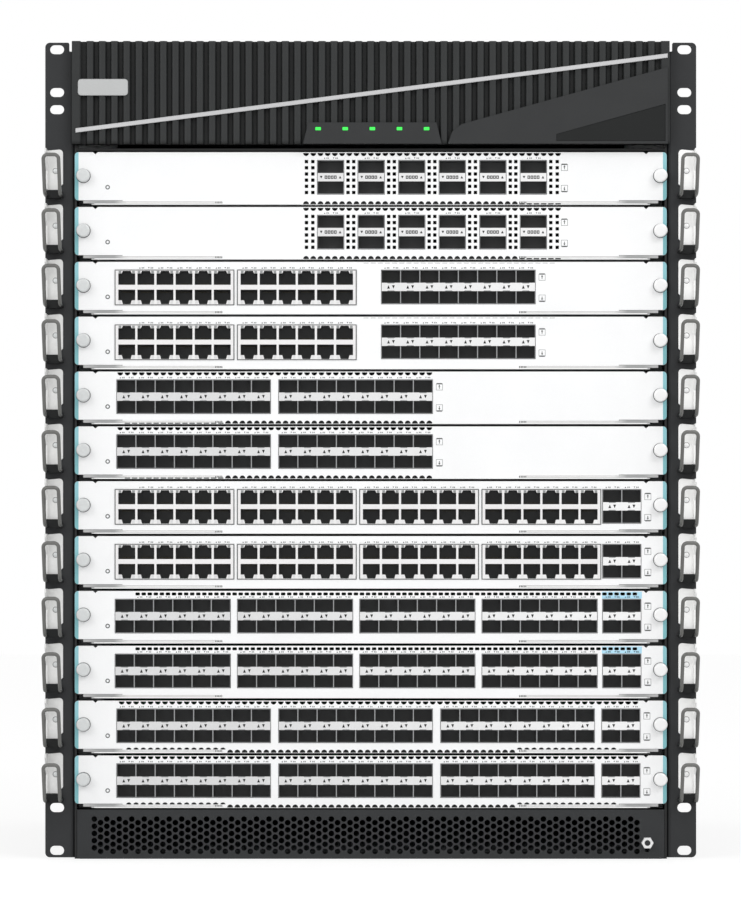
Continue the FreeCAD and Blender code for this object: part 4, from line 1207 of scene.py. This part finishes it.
def build_object():
    """Every piece of the scene, and the finish of the CAD nodes that stay."""
    make_ear("left", -1)
    make_ear("right", 1)
    make_bezel()
    make_stripe()
    make_badge()
    make_lamps()
    make_sunk_wedge()
    make_intake()
    make_cable_guides()
    for index in range(1, CARDS + 1):
        make_faceplate(index)
        make_tray(index)
        make_thumbscrews(index)
        make_ports(index)
        make_board(index)
        make_lever(index, "left", -1)
        make_lever(index, "right", 1)
    make_rear_details()
    dress("chassis_shell", SHELL, 0.2)
    dress("rear_panel", REAR, 0.3)
    dress("backplane", PCB, 0.0)
    dress("indicator_panel", TRIM, 0.25)
    dress("wedge_cover", TRIM, 0.2)


build_object()


# --- Floor, light and camera ---
def show_backdrop(tree, most, lit, seen, output):
    """Show one shader to the rays that see the backdrop, and the other to the rest.

    Those rays are the camera's, and the ones seen in metal or glass.
    """
    path = add_node(tree, "LightPath")
    rays = path.outputs["Is Camera Ray"]
    for name in ("Is Glossy Ray", "Is Transmission Ray"):
        rays = math_node(tree, "MAXIMUM", rays, path.outputs[name])
    mix = add_node(tree, "MixShader")
    tree.links.new(math_node(tree, "MULTIPLY", rays, most), mix.inputs["Fac"])
    tree.links.new(lit.outputs[0], mix.inputs[1])
    tree.links.new(seen.outputs[0], mix.inputs[2])
    tree.links.new(mix.outputs["Shader"], tree.nodes[output].inputs["Surface"])


def make_floor():
    """Pale floor that the camera sees as white, with the object's soft shadow."""
    corners = rectangle(-FLOOR_HALF, FLOOR_HALF, -FLOOR_HALF, FLOOR_HALF)
    mesh = bpy.data.meshes.new("floor")
    mesh.from_pydata([(x, y, 0) for x, y in corners], [], [(0, 1, 2, 3)])
    floor = bpy.data.objects.new("floor", mesh)
    bpy.context.scene.collection.objects.link(floor)
    material = bpy.data.materials.new("pale_floor")
    material.use_nodes = True
    tree = material.node_tree
    lit = set_inputs(tree.nodes["Principled BSDF"], Base_Color=(0.85, 0.85, 0.85, 1), Roughness=0.7)
    seen = add_node(tree, "Emission", Color=WHITE, Strength=1.2)
    show_backdrop(tree, 0.64, lit, seen, "Material Output")
    mesh.materials.append(material)


def make_world():
    """White to the camera and in reflections, a plain soft level for lighting."""
    world = bpy.data.worlds.new("studio")
    bpy.context.scene.world = world
    world.use_nodes = True
    tree = world.node_tree
    lit = set_inputs(tree.nodes["Background"], Color=WHITE, Strength=0.62)
    seen = add_node(tree, "Background", Color=WHITE, Strength=1.0)
    show_backdrop(tree, 1.0, lit, seen, "World Output")


def make_light(name, place, power):
    """Square soft lamp aimed at the middle of the front."""
    data = bpy.data.lights.new(name, "AREA")
    data.shape = "RECTANGLE"
    data.size = LAMP_SIDE
    data.size_y = LAMP_SIDE
    data.energy = power
    light = bpy.data.objects.new(name, data)
    light.location = place
    light.rotation_euler = (Vector(AIM) - Vector(place)).to_track_quat("-Z", "Y").to_euler()
    bpy.context.scene.collection.objects.link(light)


WHITE = (1, 1, 1, 1)
FLOOR_HALF = 9.0
AIM = (0, -0.2, 0.3)
LAMP_SIDE = 1.6
CAMERA_DISTANCE = 2.9
FRAME_HEIGHT = 0.6672
CAMERA_HEIGHT = 0.199
PICTURE_MIDDLE = 0.303
PICTURE_SHIFT = -0.00025
SENSOR = 36.0


def make_camera():
    """Long lens straight at the front, shifted up to frame the object."""
    data = bpy.data.cameras.new("camera")
    data.sensor_width = SENSOR
    data.lens = SENSOR * CAMERA_DISTANCE / FRAME_HEIGHT
    data.shift_x = PICTURE_SHIFT
    data.shift_y = (PICTURE_MIDDLE - CAMERA_HEIGHT) / FRAME_HEIGHT
    data.clip_start = 0.05
    data.clip_end = 50.0
    camera = bpy.data.objects.new("camera", data)
    camera.location = (0.0, FACE_Y * MM - CAMERA_DISTANCE, CAMERA_HEIGHT)
    camera.rotation_euler = (math.radians(90), 0, 0)
    bpy.context.scene.collection.objects.link(camera)
    bpy.context.scene.camera = camera


make_floor()
make_world()
make_light("key", (1.6, -2.6, 2.1), 32.0)
make_light("fill", (-1.9, -2.4, 1.6), 22.0)
make_camera()
bpy.context.scene.view_settings.view_transform = "Standard"
